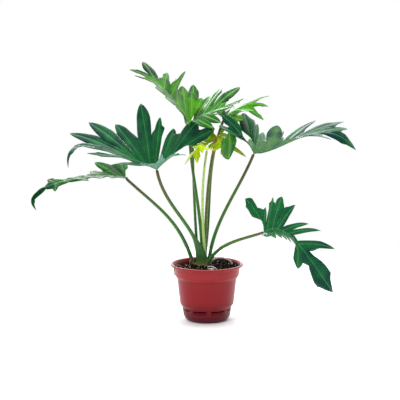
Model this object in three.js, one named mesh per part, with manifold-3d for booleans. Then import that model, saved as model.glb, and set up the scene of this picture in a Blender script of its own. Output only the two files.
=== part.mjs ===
// A potted philodendron: a young lobed-leaf plant in a thin thermoformed nursery pot.
// Millimetres, +Z up, origin at the centre of the pot's underside. The front of the plant is -Y.
import * as THREE from 'three';
import { mergeVertices } from 'three/addons/utils/BufferGeometryUtils.js';
import Module from 'manifold-3d';

const wasm = await Module();
wasm.setup();

// ---------------------------------------------------------------- driving dimensions
const POT_HEIGHT = 110;
const POT_WALL = 1.4;
const RIM_RADIUS = 70;
const POT_OUTSIDE = [ // radius and height, from the foot up to the top of the rolled rim
  [36, 0], [41, 2.8], [43.2, 6.2], [45.4, 13], [47.2, 24.9], [51.6, 32.6], [56.8, 79], [57.6, 81.5], [62, 88],
  [63.5, 103], [65, 105], [69.2, 105.6], [RIM_RADIUS, 107.4], [69.4, 109.4], [67.6, POT_HEIGHT],
];
const RIM_INSIDE = [[65.2, 109], [62.6, 106]];
const POT_SIDES = 32;
const DRAIN_SLOTS = 8;
const SLOT_ANGLE = 34; // degrees of the pot's girth that each slot takes
const SLOT_BOTTOM = 21.4;
const SLOT_HEIGHT = 2.4;
const SLOT_TURN = 6; // degrees
const FLOOR_HOLES = 6;
const FLOOR_HOLE_RADIUS = 4;
const FLOOR_HOLE_RING = 26;

const SOIL_LEVEL = 106.4;
const SOIL_MOUND = 2; // at the crown
const SOIL_DIP = 8; // by the rim at the left
const SOIL_TOP_RADIUS = 61.2;
const SOIL_SECTORS = 24;
const SOIL_RINGS = [0.82, 0.62, 0.4, 0.15]; // shares of the radius, on the top face
const SOIL_GAP = 0.4; // between the root ball and the pot wall

const CROWN_CENTRE = [-8, 0];
const CROWN_FOOT = 88;
const CROWN_TOP = 111;
const CROWN_RADIUS = 21;
const CROWN_TAPER = 7;
const CROWN_DEPTH = 0.86; // share of the width

const FIT_GAP = 0.3; // between a piece and what it stands in or carries
const SMALLEST_EDGE = 0.06; // shorter edges are cleaned away after cutting
const STEM_SIDES = 8;
const STEM_STEPS = 8;
const BLADE_THICKNESS = 0.9;
const RIB_DEPTH = 0.6; // how far the midrib stands out under a blade
const WEB = 0.3; // share of a lobe's vein that runs inside the joined part of the blade
const LOBE_ROWS = [0, WEB, 0.43, 0.56, 0.7, 0.8, 1]; // along a lobe's vein

const v3 = (p) => new THREE.Vector3(p[0], p[1], p[2]);
const UP = v3([0, 0, 1]);

// ---------------------------------------------------------------- solids and booleans
function bareMerged(geometry) {
  const bare = geometry.clone();
  for (const name of Object.keys(bare.attributes)) {
    if (name !== 'position') bare.deleteAttribute(name);
  }
  return mergeVertices(bare, 1e-4);
}

function toSolid(geometry) {
  const g = bareMerged(geometry);
  const index = g.index.array;
  const kept = [];
  for (let i = 0; i < index.length; i += 3) {
    const [a, b, c] = [index[i], index[i + 1], index[i + 2]];
    if (a !== b && b !== c && c !== a) kept.push(a, b, c);
  }
  return new wasm.Manifold(new wasm.Mesh({
    numProp: 3,
    vertProperties: new Float32Array(g.attributes.position.array),
    triVerts: new Uint32Array(kept),
  }));
}

function toGeometry(solid) {
  const mesh = solid.getMesh();
  const positions = new Float32Array(mesh.numVert * 3);
  for (let i = 0; i < mesh.numVert; i += 1) {
    positions.set(mesh.vertProperties.subarray(i * mesh.numProp, i * mesh.numProp + 3), i * 3);
  }
  const geometry = new THREE.BufferGeometry();
  geometry.setAttribute('position', new THREE.BufferAttribute(positions, 3));
  geometry.setIndex(new THREE.BufferAttribute(new Uint32Array(mesh.triVerts), 1));
  geometry.computeVertexNormals();
  return geometry;
}

function largestPiece(solid) {
  return solid.simplify(SMALLEST_EDGE).decompose().reduce((a, b) => (b.volume() > a.volume() ? b : a));
}

// ---------------------------------------------------------------- curves
// A cubic through four points, passed at 0, 1/3, 2/3 and 1 of the curve's parameter.
function throughFour(a, b, c, d) {
  const handle = (p, q, r, s) => p.clone().multiplyScalar(-5).addScaledVector(q, 18)
    .addScaledVector(r, -9).addScaledVector(s, 2).divideScalar(6);
  return new THREE.CubicBezierCurve3(a, handle(a, b, c, d), handle(d, c, b, a), d);
}

function smoothstep(t) {
  const x = Math.min(1, Math.max(0, t));
  return x * x * (3 - 2 * x);
}

// ---------------------------------------------------------------- tapered stems
// A closed tube along a curve. radiusAt(t) gives [across, deep] half sizes.
function taperedTube(curve, radiusAt, sides = STEM_SIDES, steps = STEM_STEPS) {
  const positions = [];
  const side0 = v3([1, 0, 0]);
  for (let i = 0; i <= steps; i += 1) {
    const t = i / steps;
    const along = curve.getTangent(t);
    const across = side0.clone().addScaledVector(along, -side0.dot(along)).normalize();
    const deep = along.clone().cross(across);
    const [ra, rd] = radiusAt(t);
    const centre = curve.getPoint(t);
    for (let k = 0; k < sides; k += 1) {
      const angle = (2 * Math.PI * k) / sides;
      positions.push(centre.clone().addScaledVector(across, ra * Math.cos(angle))
        .addScaledVector(deep, rd * Math.sin(angle)));
    }
  }
  const index = [];
  const at = (i, k) => i * sides + (k % sides);
  for (let i = 0; i < steps; i += 1) {
    for (let k = 0; k < sides; k += 1) {
      index.push(at(i, k), at(i, k + 1), at(i + 1, k), at(i, k + 1), at(i + 1, k + 1), at(i + 1, k));
    }
  }
  for (let k = 1; k < sides - 1; k += 1) {
    index.push(at(0, 0), at(0, k + 1), at(0, k));
    index.push(at(steps, 0), at(steps, k), at(steps, k + 1));
  }
  return indexed(positions, index);
}

function indexed(points, index) {
  const geometry = new THREE.BufferGeometry();
  const positions = points.flatMap((p) => [p.x, p.y, p.z]);
  geometry.setAttribute('position', new THREE.Float32BufferAttribute(positions, 3));
  geometry.setIndex(index);
  return geometry;
}

// ---------------------------------------------------------------- leaf blades
// A blade is a comb of lobes along a spine. The spine runs from the end of a back rib (-1) through
// the hub, where the stem joins (0), to the tip of the midrib (1), once for each side of the leaf.
// Lobe tips are listed from the back end forwards. After a tip's x, y and z may come the lobe's
// width share, the sizes of its back and front teeth, and how deep the cut behind it ends.
const LEAVES = {
  low_left: {
    rib: [[-155, -10, 277], [-228, -43, 284], [-309, -66, 265], [-320, -70, 225]],
    left: {
      back: [-153, -40, 283], arch: 0,
      behind: [[-153, -66, 285], [-158, -85, 288]],
      ahead: [[-176, -95, 289], [-198, -94, 288], [-220, -88, 283, 0.8], [-282, -93, 264, 1.3]],
    },
    right: {
      back: [-157, 26, 287], arch: 0.05,
      behind: [[-157, 52, 296, 1, 0, 0], [-167, 58, 297, 1.2, 0, 0, 0.7]],
      ahead: [[-216, 32, 301, 1.3, 0, 0, 0.75], [-224, 22, 285, 1], [-265, -6, 274], [-301, -29, 277, 1.5]],
    },
    fork: 0.62, wave: 0.1, width: 0.11, endWidth: 7, seed: 1,
  },
  left: {
    rib: [[-95, -26, 296], [-157, -28, 323], [-236, -22, 340], [-263, -19, 298]],
    left: {
      back: [-54, -48, 330], arch: 0.04,
      behind: [[-39, -64, 328], [-58, -76, 332], [-84, -75, 331, 0.6]],
      ahead: [
        [-125, -81, 315], [-164, -89, 315], [-185, -79, 330], [-224, -63, 331], [-248, -44, 344],
      ],
    },
    right: {
      back: [-38, -16, 341], arch: 0.08,
      behind: [[12, -9, 368, 1.5, 0, 0], [-19, -6, 383, 1.5, 0, 0, 0.8], [-63, 7, 370, 1.1, 0, 0, 0.7]],
      ahead: [
        [-89, 15, 391, 0.7, 0.8, 0, 0.05], [-127, 33, 415, 1, 0, 0, 0.5], [-176, 30, 375, 1.15, 0, 0.2, 0.45],
        [-227, 27, 379, 1.05, 0, 0, 0.08], [-263, 17, 359, 0.9, 0, 0, 0.2],
      ],
    },
    fork: 0.32, wave: 0.1, width: 0.1, endWidth: 9, seed: 2,
  },
  top_left: {
    rib: [[-32, 6, 384], [-72, -2, 436], [-108, -6, 468], [-146, -8, 483]],
    left: {
      back: [-26, -18, 387], arch: 0.02,
      behind: [[-19, -38, 389, 1, 0, 0], [-40, -52, 385, 1, 0, 0, 0.6]],
      ahead: [
        [-58, -62, 418, 1, 0, 0, 0.6], [-77, -66, 435, 1, 0.2, 0, 0.6], [-96, -66, 454, 1, 0, 0.3, 0.6],
        [-114, -57, 470, 1, 0, 0, 0.5], [-136, -34, 474],
      ],
    },
    right: {
      back: [-21, 26, 399], arch: 0.08,
      behind: [[-9, 56, 423, 1.4], [-29, 66, 434, 1.5, 0, 0, 0.6]],
      ahead: [
        [-46, 66, 445, 1.5, 0, 0, 0.6], [-60, 72, 459, 1.2, 0, 0, 0.5], [-41, 80, 473, 0.4, 0, 0],
        [-76, 57, 472], [-122, 30, 495, 2.2, 0, 0],
      ],
    },
    fork: 0.6, wave: 0.1, width: 0.1, endWidth: 7, seed: 3, finish: 'bladeBright',
  },
  top: {
    rib: [[-27, 34, 381], [2, 34, 397], [35, 30, 408], [70, 25, 425]],
    left: {
      back: [-17, 72, 400], arch: 0.08,
      behind: [[-43, 107, 416, 1.1], [-27, 116, 444, 1.1]],
      ahead: [[8, 117, 421, 1.1], [30, 111, 438, 0.9, 0.3, 0.6], [65, 94, 441, 1.3, 0, 0, 0.15], [43, 74, 422]],
    },
    right: {
      back: [-21, 11, 382], arch: 0.02,
      behind: [[-4, 1, 373, 1.2, 0, 0]],
      ahead: [[11, -22, 374, 1.2, 0, 0], [26, -23, 384, 1.1, 0, 0], [51, -14, 415], [63, 0, 421]],
    },
    fork: 0.6, wave: 0.1, width: 0.1, endWidth: 6, seed: 4, finish: 'bladeBright',
  },
  upper_right: {
    rib: [[33, 44, 384], [60, 45, 405], [89, 45, 413], [118, 45, 408]],
    left: {
      back: [18, 73, 392], arch: 0.08,
      behind: [[-3, 95, 380, 1.2], [24, 100, 401, 1.2]],
      ahead: [[51, 95, 402], [80, 87, 410], [121, 79, 425, 0.5]],
    },
    right: {
      back: [52, -4, 364], arch: -0.02,
      behind: [[41, -58, 319, 1.7, 0, 0]],
      ahead: [[68, -9, 388], [91, 2, 404], [108, 17, 385]],
    },
    fork: 0.6, wave: 0.1, width: 0.12, endWidth: 4, seed: 5, finish: 'bladeBright',
  },
  young_front: {
    rib: [[0, -20, 332], [-9, -32, 343], [-19, -42, 339], [-18, -46, 310]],
    left: {
      back: [8, -34, 338], arch: 0.06,
      behind: [[11, -48, 335, 1, 0, 0]],
      ahead: [[0, -58, 337, 1, 0, 0], [-8, -56, 331, 1, 0, 0]],
    },
    right: {
      back: [-4, -4, 338], arch: 0.1,
      behind: [[2, 8, 344, 1, 0, 0], [-15, 8, 344, 1.2, 0, 0]],
      ahead: [[-28, -6, 336, 1.2, 0, 0], [-42, -26, 305, 0.7, 0, 0]],
    },
    fork: 0.6, wave: 0.1, width: 0.18, endWidth: 8, seed: 6, finish: 'bladeYellow',
  },
  young_back: {
    rib: [[19, 10, 353], [25, 2, 344], [31, -4, 334], [34, -10, 317]],
    left: {
      back: [27, 24, 357], arch: 0.1,
      behind: [[33, 34, 366, 1, 0, 0], [40, 28, 355, 1, 0, 0]],
      ahead: [[40, 20, 346, 1, 0, 0], [75, 14, 314, 0.45, 0, 0], [38, 2, 323, 1, 0, 0]],
    },
    right: {
      back: [12, 26, 359], arch: 0.1,
      behind: [[2, 48, 368, 1.2, 0, 0], [-7, 42, 357, 1, 0, 0]],
      ahead: [[-7, 28, 343, 1.2, 0, 0], [0, 12, 330, 1, 0, 0], [12, -6, 328, 1, 0, 0]],
    },
    fork: 0.6, wave: 0.1, width: 0.18, endWidth: 7, seed: 7, finish: 'bladeYellow',
  },
  right: {
    rib: [[90, 10, 322], [151, 13, 340], [218, 17, 361], [286, 25, 326]],
    left: {
      back: [87, 39, 346], arch: 0.08,
      behind: [[72, 69, 393, 2.9, 0.4, 0.2], [99, 73, 371]],
      ahead: [[110, 79, 354], [149, 88, 357], [213, 96, 375, 0.8], [267, 84, 374, 0.8], [274, 67, 362, 0.9]],
    },
    right: {
      back: [68, -19, 357], arch: 0.08,
      behind: [[28, -25, 399, 1.5, 0, 0], [22, -36, 379, 1.3, 0, 0, 0.55], [80, -51, 357, 0.6]],
      ahead: [
        [98, -44, 363, 0.7], [131, -49, 382, 1.7, 0, 0], [174, -49, 358, 0.8], [212, -39, 363, 0.8],
        [234, -22, 352],
      ],
    },
    fork: 0.6, wave: 0.1, width: 0.1, endWidth: 10, seed: 8, endRoll: 0.9,
  },
  low_right: {
    rib: [[108, -48, 179], [147, -60, 181], [188, -68, 139], [238, -69, 67]],
    left: {
      back: [106, -42, 200], arch: 0.12,
      behind: [[72, -36, 241, 1.6, 0.2, 0.1], [111, -36, 225, 0.7, 0.3, 0, 0.7]],
      ahead: [
        [125, -31, 244, 0.4, 0.9, 0, 0.1], [142, -33, 245, 0.9, 0, 0, 0.72], [167, -40, 230, 0.8, 0, 0, 0.66],
        [192, -48, 195, 0.8, 0, 0, 0.15], [215, -55, 183, 0.6, 0, 0, 0.2], [164, -56, 179, 0.8, 0, 0, 0.1],
        [241, -61, 149, 0.85, 0, 0, 0.1],
      ],
    },
    right: {
      back: [112, -75, 175], arch: 0.04, endCut: 0.6,
      behind: [[112, -98, 179, 2, 0, 0]],
      ahead: [
        [128, -100, 177, 1, 0, 0], [139, -97, 177, 1, 0, 0], [149, -92, 172, 1, 0, 0],
        [157, -87, 167, 0.8, 0, 0], [166, -84, 161, 0.8, 0, 0], [170, -78, 151, 0.7, 0, 0],
        [170, -84, 115, 1.9, 0, 0, 0.12],
      ],
    },
    fork: 0.58, wave: 0.1, width: 0.12, endWidth: 18, seed: 9, point: 1,
  },
};

const chance = (seed) => {
  const x = Math.sin(seed * 12.9898 + 4.1414) * 43758.5453;
  return x - Math.floor(x);
};

const lerp = (a, b, t) => a.clone().lerp(b, t);
const degrees = (a) => (a * Math.PI) / 180;

function spineOf(leaf, half) {
  const rib = throughFour(...leaf.rib.map(v3));
  const hub = v3(leaf.rib[0]);
  const back = v3(half.back);
  const lift = back.distanceTo(hub) * 0.1;
  const backRib = new THREE.QuadraticBezierCurve3(hub, lerp(hub, back, 0.5).addScaledVector(UP, lift), back);
  return {
    point: (t) => (t < 0 ? backRib.getPoint(-t) : rib.getPoint(t)),
    forward: (t) => rib.getTangent(Math.max(t, 0)),
  };
}

function lobesOf(leaf, side) {
  const half = side > 0 ? leaf.left : leaf.right;
  const spine = spineOf(leaf, half);
  const [behind, ahead] = [half.behind.length, half.ahead.length];
  const stations = [];
  for (let i = -behind; i < 0; i += 1) stations.push(i / behind);
  for (let i = 0; i <= ahead; i += 1) stations.push((leaf.fork * i) / ahead);
  const lobes = [...half.behind, ...half.ahead].map((given, k) => {
    const base = spine.point((stations[k] + stations[k + 1]) / 2);
    const tip = v3(given);
    const reach = base.distanceTo(tip);
    const crest = lerp(base, tip, 0.55).addScaledVector(UP, reach * half.arch);
    return {
      vein: new THREE.QuadraticBezierCurve3(base, crest, tip),
      halfWidth: reach * leaf.width * (given[3] ?? 1),
      teeth: [given[4], given[5]],
      cut: given[6] ?? WEB,
    };
  });
  return { spine, stations, lobes, endCut: half.endCut ?? WEB };
}

function widthProfile(x, point) {
  return (1 + 1.4 * x) * (1 - x) ** point;
}

// A small side point on a lobe's margin, at 0.7 of its length.
function toothAt(u) {
  if (u <= 0.56 || u >= 0.8) return 0;
  return u < 0.7 ? (u - 0.56) / 0.14 : (0.8 - u) / 0.1;
}

// The margin of one half of a lobe: the vein it follows, the corner where it leaves the spine, the
// cut it shares with its neighbour, and the direction it spreads in. Returns a point for each u.
function lobeMargin(vein, corner, cut, spread, spec) {
  const web = cut?.row ?? WEB;
  const across = (u) => {
    const heading = vein.getTangent(u);
    return spread.clone().addScaledVector(heading, -spread.dot(heading)).normalize();
  };
  const away = (cut?.point ?? corner).clone().sub(vein.getPoint(web))
    .addScaledVector(across(web), -spec.halfWidth);
  return (u) => {
    if (u <= web && cut) return lerp(corner, cut.point, u / web);
    if (u <= web) return lerp(corner, vein.getPoint(web).addScaledVector(across(web), spec.halfWidth), u / web);
    const x = (u - web) / (1 - web);
    const tooth = spec.tooth * toothAt(u);
    const ruffle = spec.wave * Math.sin(spec.phase + 9 * u) * spec.halfWidth * (1 - x);
    const width = spec.halfWidth * (widthProfile(x, spec.point) + tooth * 0.8);
    const edge = vein.getPoint(u).addScaledVector(across(u), width)
      .addScaledVector(vein.getTangent(u), spec.halfWidth * tooth * 0.7)
      .addScaledVector(UP, ruffle);
    return cut ? edge.addScaledVector(away, 1 - smoothstep(x / 0.4)) : edge;
  };
}

// The far part of the midrib, from the fork on, as a vein of its own.
function endVein(leaf, spine) {
  const at = (u) => leaf.fork + (1 - leaf.fork) * u;
  return { getPoint: (u) => spine.point(at(u)), getTangent: (u) => spine.forward(at(u)) };
}

// The middle surface of a blade: welded points, strips of triangles facing up, one for each half lobe,
// and how much of the rib's depth each point has.
function bladeSurface(leaf) {
  const points = [];
  const keel = [];
  const strips = [];
  const found = new Map();
  const vertex = (p, rib) => {
    const key = `${Math.round(p.x * 200)},${Math.round(p.y * 200)},${Math.round(p.z * 200)}`;
    if (!found.has(key)) {
      found.set(key, points.length);
      points.push(p.clone());
      keel.push(rib);
    }
    const i = found.get(key);
    keel[i] = Math.max(keel[i], rib);
    return i;
  };
  const strip = (back, front, side) => {
    const triangles = [];
    for (let i = 0; i + 1 < back.length; i += 1) {
      for (const [a, b, c] of [[back[i], back[i + 1], front[i + 1]], [back[i], front[i + 1], front[i]]]) {
        if (a !== b && b !== c && c !== a) triangles.push(side > 0 ? [a, c, b] : [a, b, c]);
      }
    }
    strips.push(triangles);
  };
  for (const side of [1, -1]) {
    const { spine, stations, lobes, endCut } = lobesOf(leaf, side);
    const veins = [...lobes.map((lobe) => lobe.vein), endVein(leaf, spine)];
    const between = (k, u) => veins[k + 1].getPoint(u).sub(veins[k].getPoint(u));
    const before = (k) => (k > 0 ? between(k - 1, 0.7) : new THREE.Vector3());
    const spreads = lobes.map((_, k) => before(k).add(between(k, 0.7)));
    const cuts = lobes.map((_, k) => {
      const share = lobes[k + 1]?.cut ?? endCut;
      const row = Math.max(share, WEB);
      const open = lerp(veins[k].getPoint(row), veins[k + 1].getPoint(row), 0.5);
      return { row, point: lerp(spine.point(stations[k + 1]), open, share / row) };
    });
    const rim = (margin, tip) => LOBE_ROWS.map((u) => vertex(u === 1 ? tip : margin(u), u === 0 ? 1 : 0));
    lobes.forEach(({ vein, halfWidth, teeth }, k) => {
      const spec = (end) => ({
        halfWidth,
        wave: leaf.wave,
        point: leaf.point ?? 0.8,
        tooth: teeth[end] ?? Math.max(0, chance(leaf.seed + 31 * side + 7 * k + end) - 0.45),
        phase: 6 * chance(leaf.seed + 17 * side + 3 * k + end),
      });
      const backward = spreads[k].clone().negate();
      const back = lobeMargin(vein, spine.point(stations[k]), cuts[k - 1], backward, spec(0));
      const front = lobeMargin(vein, spine.point(stations[k + 1]), cuts[k], spreads[k], spec(1));
      const middle = LOBE_ROWS.map((u) => vertex(vein.getPoint(u), u === 0 ? 1 : 0.3 * (1 - u)));
      strip(rim(back, vein.getPoint(1)), middle, side);
      strip(middle, rim(front, vein.getPoint(1)), side);
    });
    const last = lobes.length - 1;
    const ridge = veins[last + 1];
    const spec = {
      halfWidth: leaf.endWidth, wave: leaf.wave, point: leaf.point ?? 0.8, tooth: 0.25, phase: 2 * side,
    };
    const outward = between(last, 0.7).normalize().negate().addScaledVector(UP, side * (leaf.endRoll ?? 0));
    const margin = lobeMargin(ridge, spine.point(leaf.fork), cuts[last], outward, spec);
    const middle = LOBE_ROWS.map((u) => vertex(ridge.getPoint(u), u === 1 ? 0 : 1 - u));
    strip(rim(margin, ridge.getPoint(1)), middle, side);
  }
  return { points, strips, keel };
}

// A closed plate between two sheets of points that share their triangles.
function plateSolid(top, under, triangles) {
  const index = [];
  const edges = new Set(triangles.flatMap(([a, b, c]) => [`${a}_${b}`, `${b}_${c}`, `${c}_${a}`]));
  const n = top.length;
  for (const [a, b, c] of triangles) {
    index.push(a, b, c, a + n, c + n, b + n);
    for (const [p, q] of [[a, b], [b, c], [c, a]]) {
      if (edges.has(`${q}_${p}`)) continue;
      if (p < q) index.push(q, p, q + n, p, p + n, q + n); // neighbours split a shared wall alike
      else index.push(q, p, p + n, q, p + n, q + n);
    }
  }
  return toSolid(indexed([...top, ...under], index));
}

function bladeSolid(leaf, thickness, spare = 0) {
  const { points, strips, keel } = bladeSurface(leaf);
  const normals = points.map(() => new THREE.Vector3());
  for (const [a, b, c] of strips.flat()) {
    const n = points[b].clone().sub(points[a]).cross(points[c].clone().sub(points[a]));
    for (const i of [a, b, c]) normals[i].add(n);
  }
  const half = thickness / 2 + spare;
  const top = points.map((p, i) => p.clone().addScaledVector(normals[i].normalize(), half));
  const under = points.map((p, i) => p.clone().addScaledVector(normals[i], -half - keel[i] * RIB_DEPTH));
  return wasm.Manifold.union(strips.map((strip) => plateSolid(top, under, strip)));
}

// ---------------------------------------------------------------- leaf stems
// Each stem passes four points, from inside the crown to its blade's hub.
// radius: [at the foot, at the hub]; sheath: extra half width of a winged foot.
const STEMS = {
  low_left: { path: [[-23, 0, 97], [-54, -2, 173], [-97, -6, 224], [-155, -10, 277]], radius: [4, 2.8] },
  left: { path: [[-8, -9, 98], [-28, -13, 169], [-67, -20, 228], [-95, -26, 296]], radius: [4, 3], sheath: 8 },
  top: { path: [[-16, 8, 95], [-22, 13, 188], [-26, 22, 284], [-27, 34, 381]], radius: [3.4, 2.2] },
  top_left: { path: [[-9, 0, 97], [-15, 1, 206], [-28, 3, 298], [-32, 6, 384]], radius: [3.8, 2.6] },
  young_front: {
    path: [[-1, -2, 97], [-7, -8, 178], [-8, -14, 253], [0, -20, 332]], radius: [3.4, 2.2], finish: 'stemPale',
  },
  young_back: { path: [[-3, 7, 95], [-2, 4, 182], [4, 4, 271], [19, 10, 353]], radius: [3.6, 2.8] },
  upper_right: { path: [[-9, 15, 94], [3, 18, 201], [9, 28, 291], [33, 44, 384]], radius: [3.6, 2.6] },
  right: { path: [[4, 4, 96], [19, 5, 175], [54, 8, 248], [90, 10, 322]], radius: [4, 2.8] },
  low_right: { path: [[-4, -17, 100], [23, -24, 141], [63, -36, 163], [108, -48, 179]], radius: [4, 2.6] },
};

function stemGeometry(stem, spare = 0) {
  const [start, ...rest] = stem.path.map(v3);
  const curve = throughFour(start.addScaledVector(UP, -spare), ...rest);
  const [foot, head] = stem.radius;
  return taperedTube(curve, (t) => {
    const r = foot + (head - foot) * Math.sqrt(t) + spare;
    const wing = (stem.sheath ?? 0) * (1 - smoothstep((t - 0.04) / 0.3));
    return [r + wing, r - wing * 0.06];
  });
}

// A stem ends just under its blade: the blade's own shape, thickened, is cut out of its end.
function carvedStem(stem, leaf) {
  let solid = toSolid(stemGeometry(stem));
  const blade = bladeSolid(leaf, BLADE_THICKNESS, FIT_GAP);
  for (const shift of [[FIT_GAP, 0, 0], [-FIT_GAP, 0, 0], [0, FIT_GAP, 0], [0, -FIT_GAP, 0]]) {
    solid = solid.subtract(blade.translate(shift));
  }
  return largestPiece(solid);
}

// ---------------------------------------------------------------- pot
function insideOf(profile, wall) {
  return profile.map(([r, z]) => [r - wall, Math.max(z, wall)]).filter(([, z]) => z <= POT_HEIGHT - 4.2);
}

function latheSolid(profile, sides = POT_SIDES) {
  const points = profile.map(([r, z]) => new THREE.Vector2(r, z));
  return new THREE.LatheGeometry(points, sides).rotateX(Math.PI / 2);
}

function drainSlot(k) {
  const half = degrees(SLOT_ANGLE) / 2;
  const middle = ((k + 0.5) / DRAIN_SLOTS) * 2 * Math.PI + degrees(SLOT_TURN);
  const shape = new THREE.Shape();
  shape.absarc(0, 0, 60, middle - half, middle + half, false);
  shape.absarc(0, 0, 40, middle + half, middle - half, true);
  const slab = new THREE.ExtrudeGeometry(shape, { depth: SLOT_HEIGHT, bevelEnabled: false, curveSegments: 2 });
  return toSolid(slab.translate(0, 0, SLOT_BOTTOM));
}

function floorHole(k) {
  const angle = ((k + 0.5) / FLOOR_HOLES) * 2 * Math.PI;
  const pin = new THREE.CylinderGeometry(FLOOR_HOLE_RADIUS, FLOOR_HOLE_RADIUS, 12, 10).rotateX(Math.PI / 2);
  return toSolid(pin.translate(FLOOR_HOLE_RING * Math.cos(angle), FLOOR_HOLE_RING * Math.sin(angle), 0));
}

function potSolid() {
  const inside = insideOf(POT_OUTSIDE, POT_WALL).reverse();
  const profile = [[0, 0], ...POT_OUTSIDE, ...RIM_INSIDE, ...inside, [0, POT_WALL]];
  let pot = toSolid(latheSolid(profile));
  for (let k = 0; k < DRAIN_SLOTS; k += 1) pot = pot.subtract(drainSlot(k));
  for (let k = 0; k < FLOOR_HOLES; k += 1) pot = pot.subtract(floorHole(k));
  return pot;
}

// ---------------------------------------------------------------- soil
// Height of the potting mix: low by the rim at the left and the back left, mounded at the crown.
function soilHeight(x, y) {
  const fromCrown = Math.hypot(x - CROWN_CENTRE[0], y - CROWN_CENTRE[1]);
  const mound = SOIL_MOUND * Math.exp(-((fromCrown / 26) ** 2));
  const dip = SOIL_DIP * smoothstep((-x * 0.8 + y * 0.3 - 14) / 40);
  const waves = 0.9 * Math.sin(x * 0.33 + y * 0.21) + 0.8 * Math.sin(y * 0.41 - x * 0.17);
  return SOIL_LEVEL + mound - dip + waves + 0.5 * Math.sin(x * 0.9 + 1);
}

function soilGeometry() {
  const inside = insideOf(POT_OUTSIDE, POT_WALL + SOIL_GAP).filter(([, z]) => z < 96);
  const points = [v3([0, 0, POT_WALL + SOIL_GAP])];
  const rings = [];
  const addRing = (radius, heightAt) => {
    const ring = [];
    for (let k = 0; k < SOIL_SECTORS; k += 1) {
      const a = (k / SOIL_SECTORS) * 2 * Math.PI;
      const [x, y] = [radius * Math.cos(a), radius * Math.sin(a)];
      ring.push(points.push(v3([x, y, heightAt(x, y)])) - 1);
    }
    rings.push(ring);
  };
  const low = inside.filter(([, z], i) => i > 1 || z > POT_WALL);
  for (const [r, z] of low) addRing(r * 0.992, () => Math.max(z, POT_WALL + SOIL_GAP));
  addRing(SOIL_TOP_RADIUS * 0.992, soilHeight);
  for (const share of SOIL_RINGS) addRing(SOIL_TOP_RADIUS * share, soilHeight);
  points.push(v3([0, 0, soilHeight(0, 0)]));
  const index = [];
  const wrap = (ring, k) => ring[k % SOIL_SECTORS];
  for (let i = 0; i + 1 < rings.length; i += 1) {
    for (let k = 0; k < SOIL_SECTORS; k += 1) {
      const [a, b] = [wrap(rings[i], k), wrap(rings[i], k + 1)];
      const [c, d] = [wrap(rings[i + 1], k + 1), wrap(rings[i + 1], k)];
      index.push(a, b, c, a, c, d);
    }
  }
  for (let k = 0; k < SOIL_SECTORS; k += 1) {
    index.push(0, wrap(rings[0], k + 1), wrap(rings[0], k));
    index.push(points.length - 1, wrap(rings.at(-1), k), wrap(rings.at(-1), k + 1));
  }
  return indexed(points, index);
}

// ---------------------------------------------------------------- crown and small pieces
function crownGeometry(spare = 0) {
  const [x, y] = CROWN_CENTRE;
  const axis = new THREE.LineCurve3(v3([x, y, CROWN_FOOT - spare]), v3([x, y, CROWN_TOP + spare]));
  return taperedTube(axis, (t) => {
    const r = CROWN_RADIUS - CROWN_TAPER * t ** 2.5 + spare;
    return [r, r * CROWN_DEPTH];
  }, 16, 5);
}

// Loose pieces on the potting mix: each a tapered strip along four points, [across, deep] half sizes.
const SMALL_PIECES = {
  aerial_root: {
    path: [[5, 10, 104], [18, 10, 118], [38, 9, 116.5], [49, 8, 106]],
    size: (t) => [2.1 - 0.5 * t, 1.9 - 0.4 * t],
    finish: 'root',
  },
  second_root: {
    path: [[-2, -22, 101], [4, -32, 109.5], [13, -38, 109.5], [22, -41, 103]],
    size: (t) => [1.3 - 0.4 * t, 1.2 - 0.4 * t],
    finish: 'root',
  },
  bark_chip: {
    path: [[2, -50, 107.3], [5, -51, 108.6], [9, -52, 108.8], [13, -52, 107.6]],
    size: () => [2.2, 1.3],
    finish: 'root',
  },
  dry_root: {
    path: [[-46, -29, 102], [-56, -36, 113.5], [-62, -40, 107], [-61, -39.5, 94]],
    size: (t) => [1.6 - t, 1.4 - 0.8 * t],
    finish: 'dryRoot',
  },
  bud_scale: {
    path: [[-30, -3, 98], [-32, -5, 106], [-33, -6, 112], [-30, -8, 119]],
    size: (t) => [0.8, 4.2 - 3 * t],
    finish: 'root',
  },
};

// ---------------------------------------------------------------- the plant
const FINISHES = {
  pot: [0x9a3439, 0.42],
  soil: [0x2a211d, 0.95],
  crown: [0x7f6a48, 0.8],
  stem: [0x3f6b34, 0.5],
  stemPale: [0x9cc060, 0.5],
  root: [0xc9b3a6, 0.8],
  dryRoot: [0x6b4f2e, 0.9],
  bladeDark: [0x1f6b3a, 0.38],
  bladeBright: [0x4a8f35, 0.4],
  bladeYellow: [0xa3c536, 0.45],
};

const group = new THREE.Group();

function place(name, geometry, finish) {
  const [color, roughness] = FINISHES[finish];
  const mesh = new THREE.Mesh(geometry, new THREE.MeshStandardMaterial({ color, roughness, metalness: 0 }));
  mesh.name = name;
  group.add(mesh);
}

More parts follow.
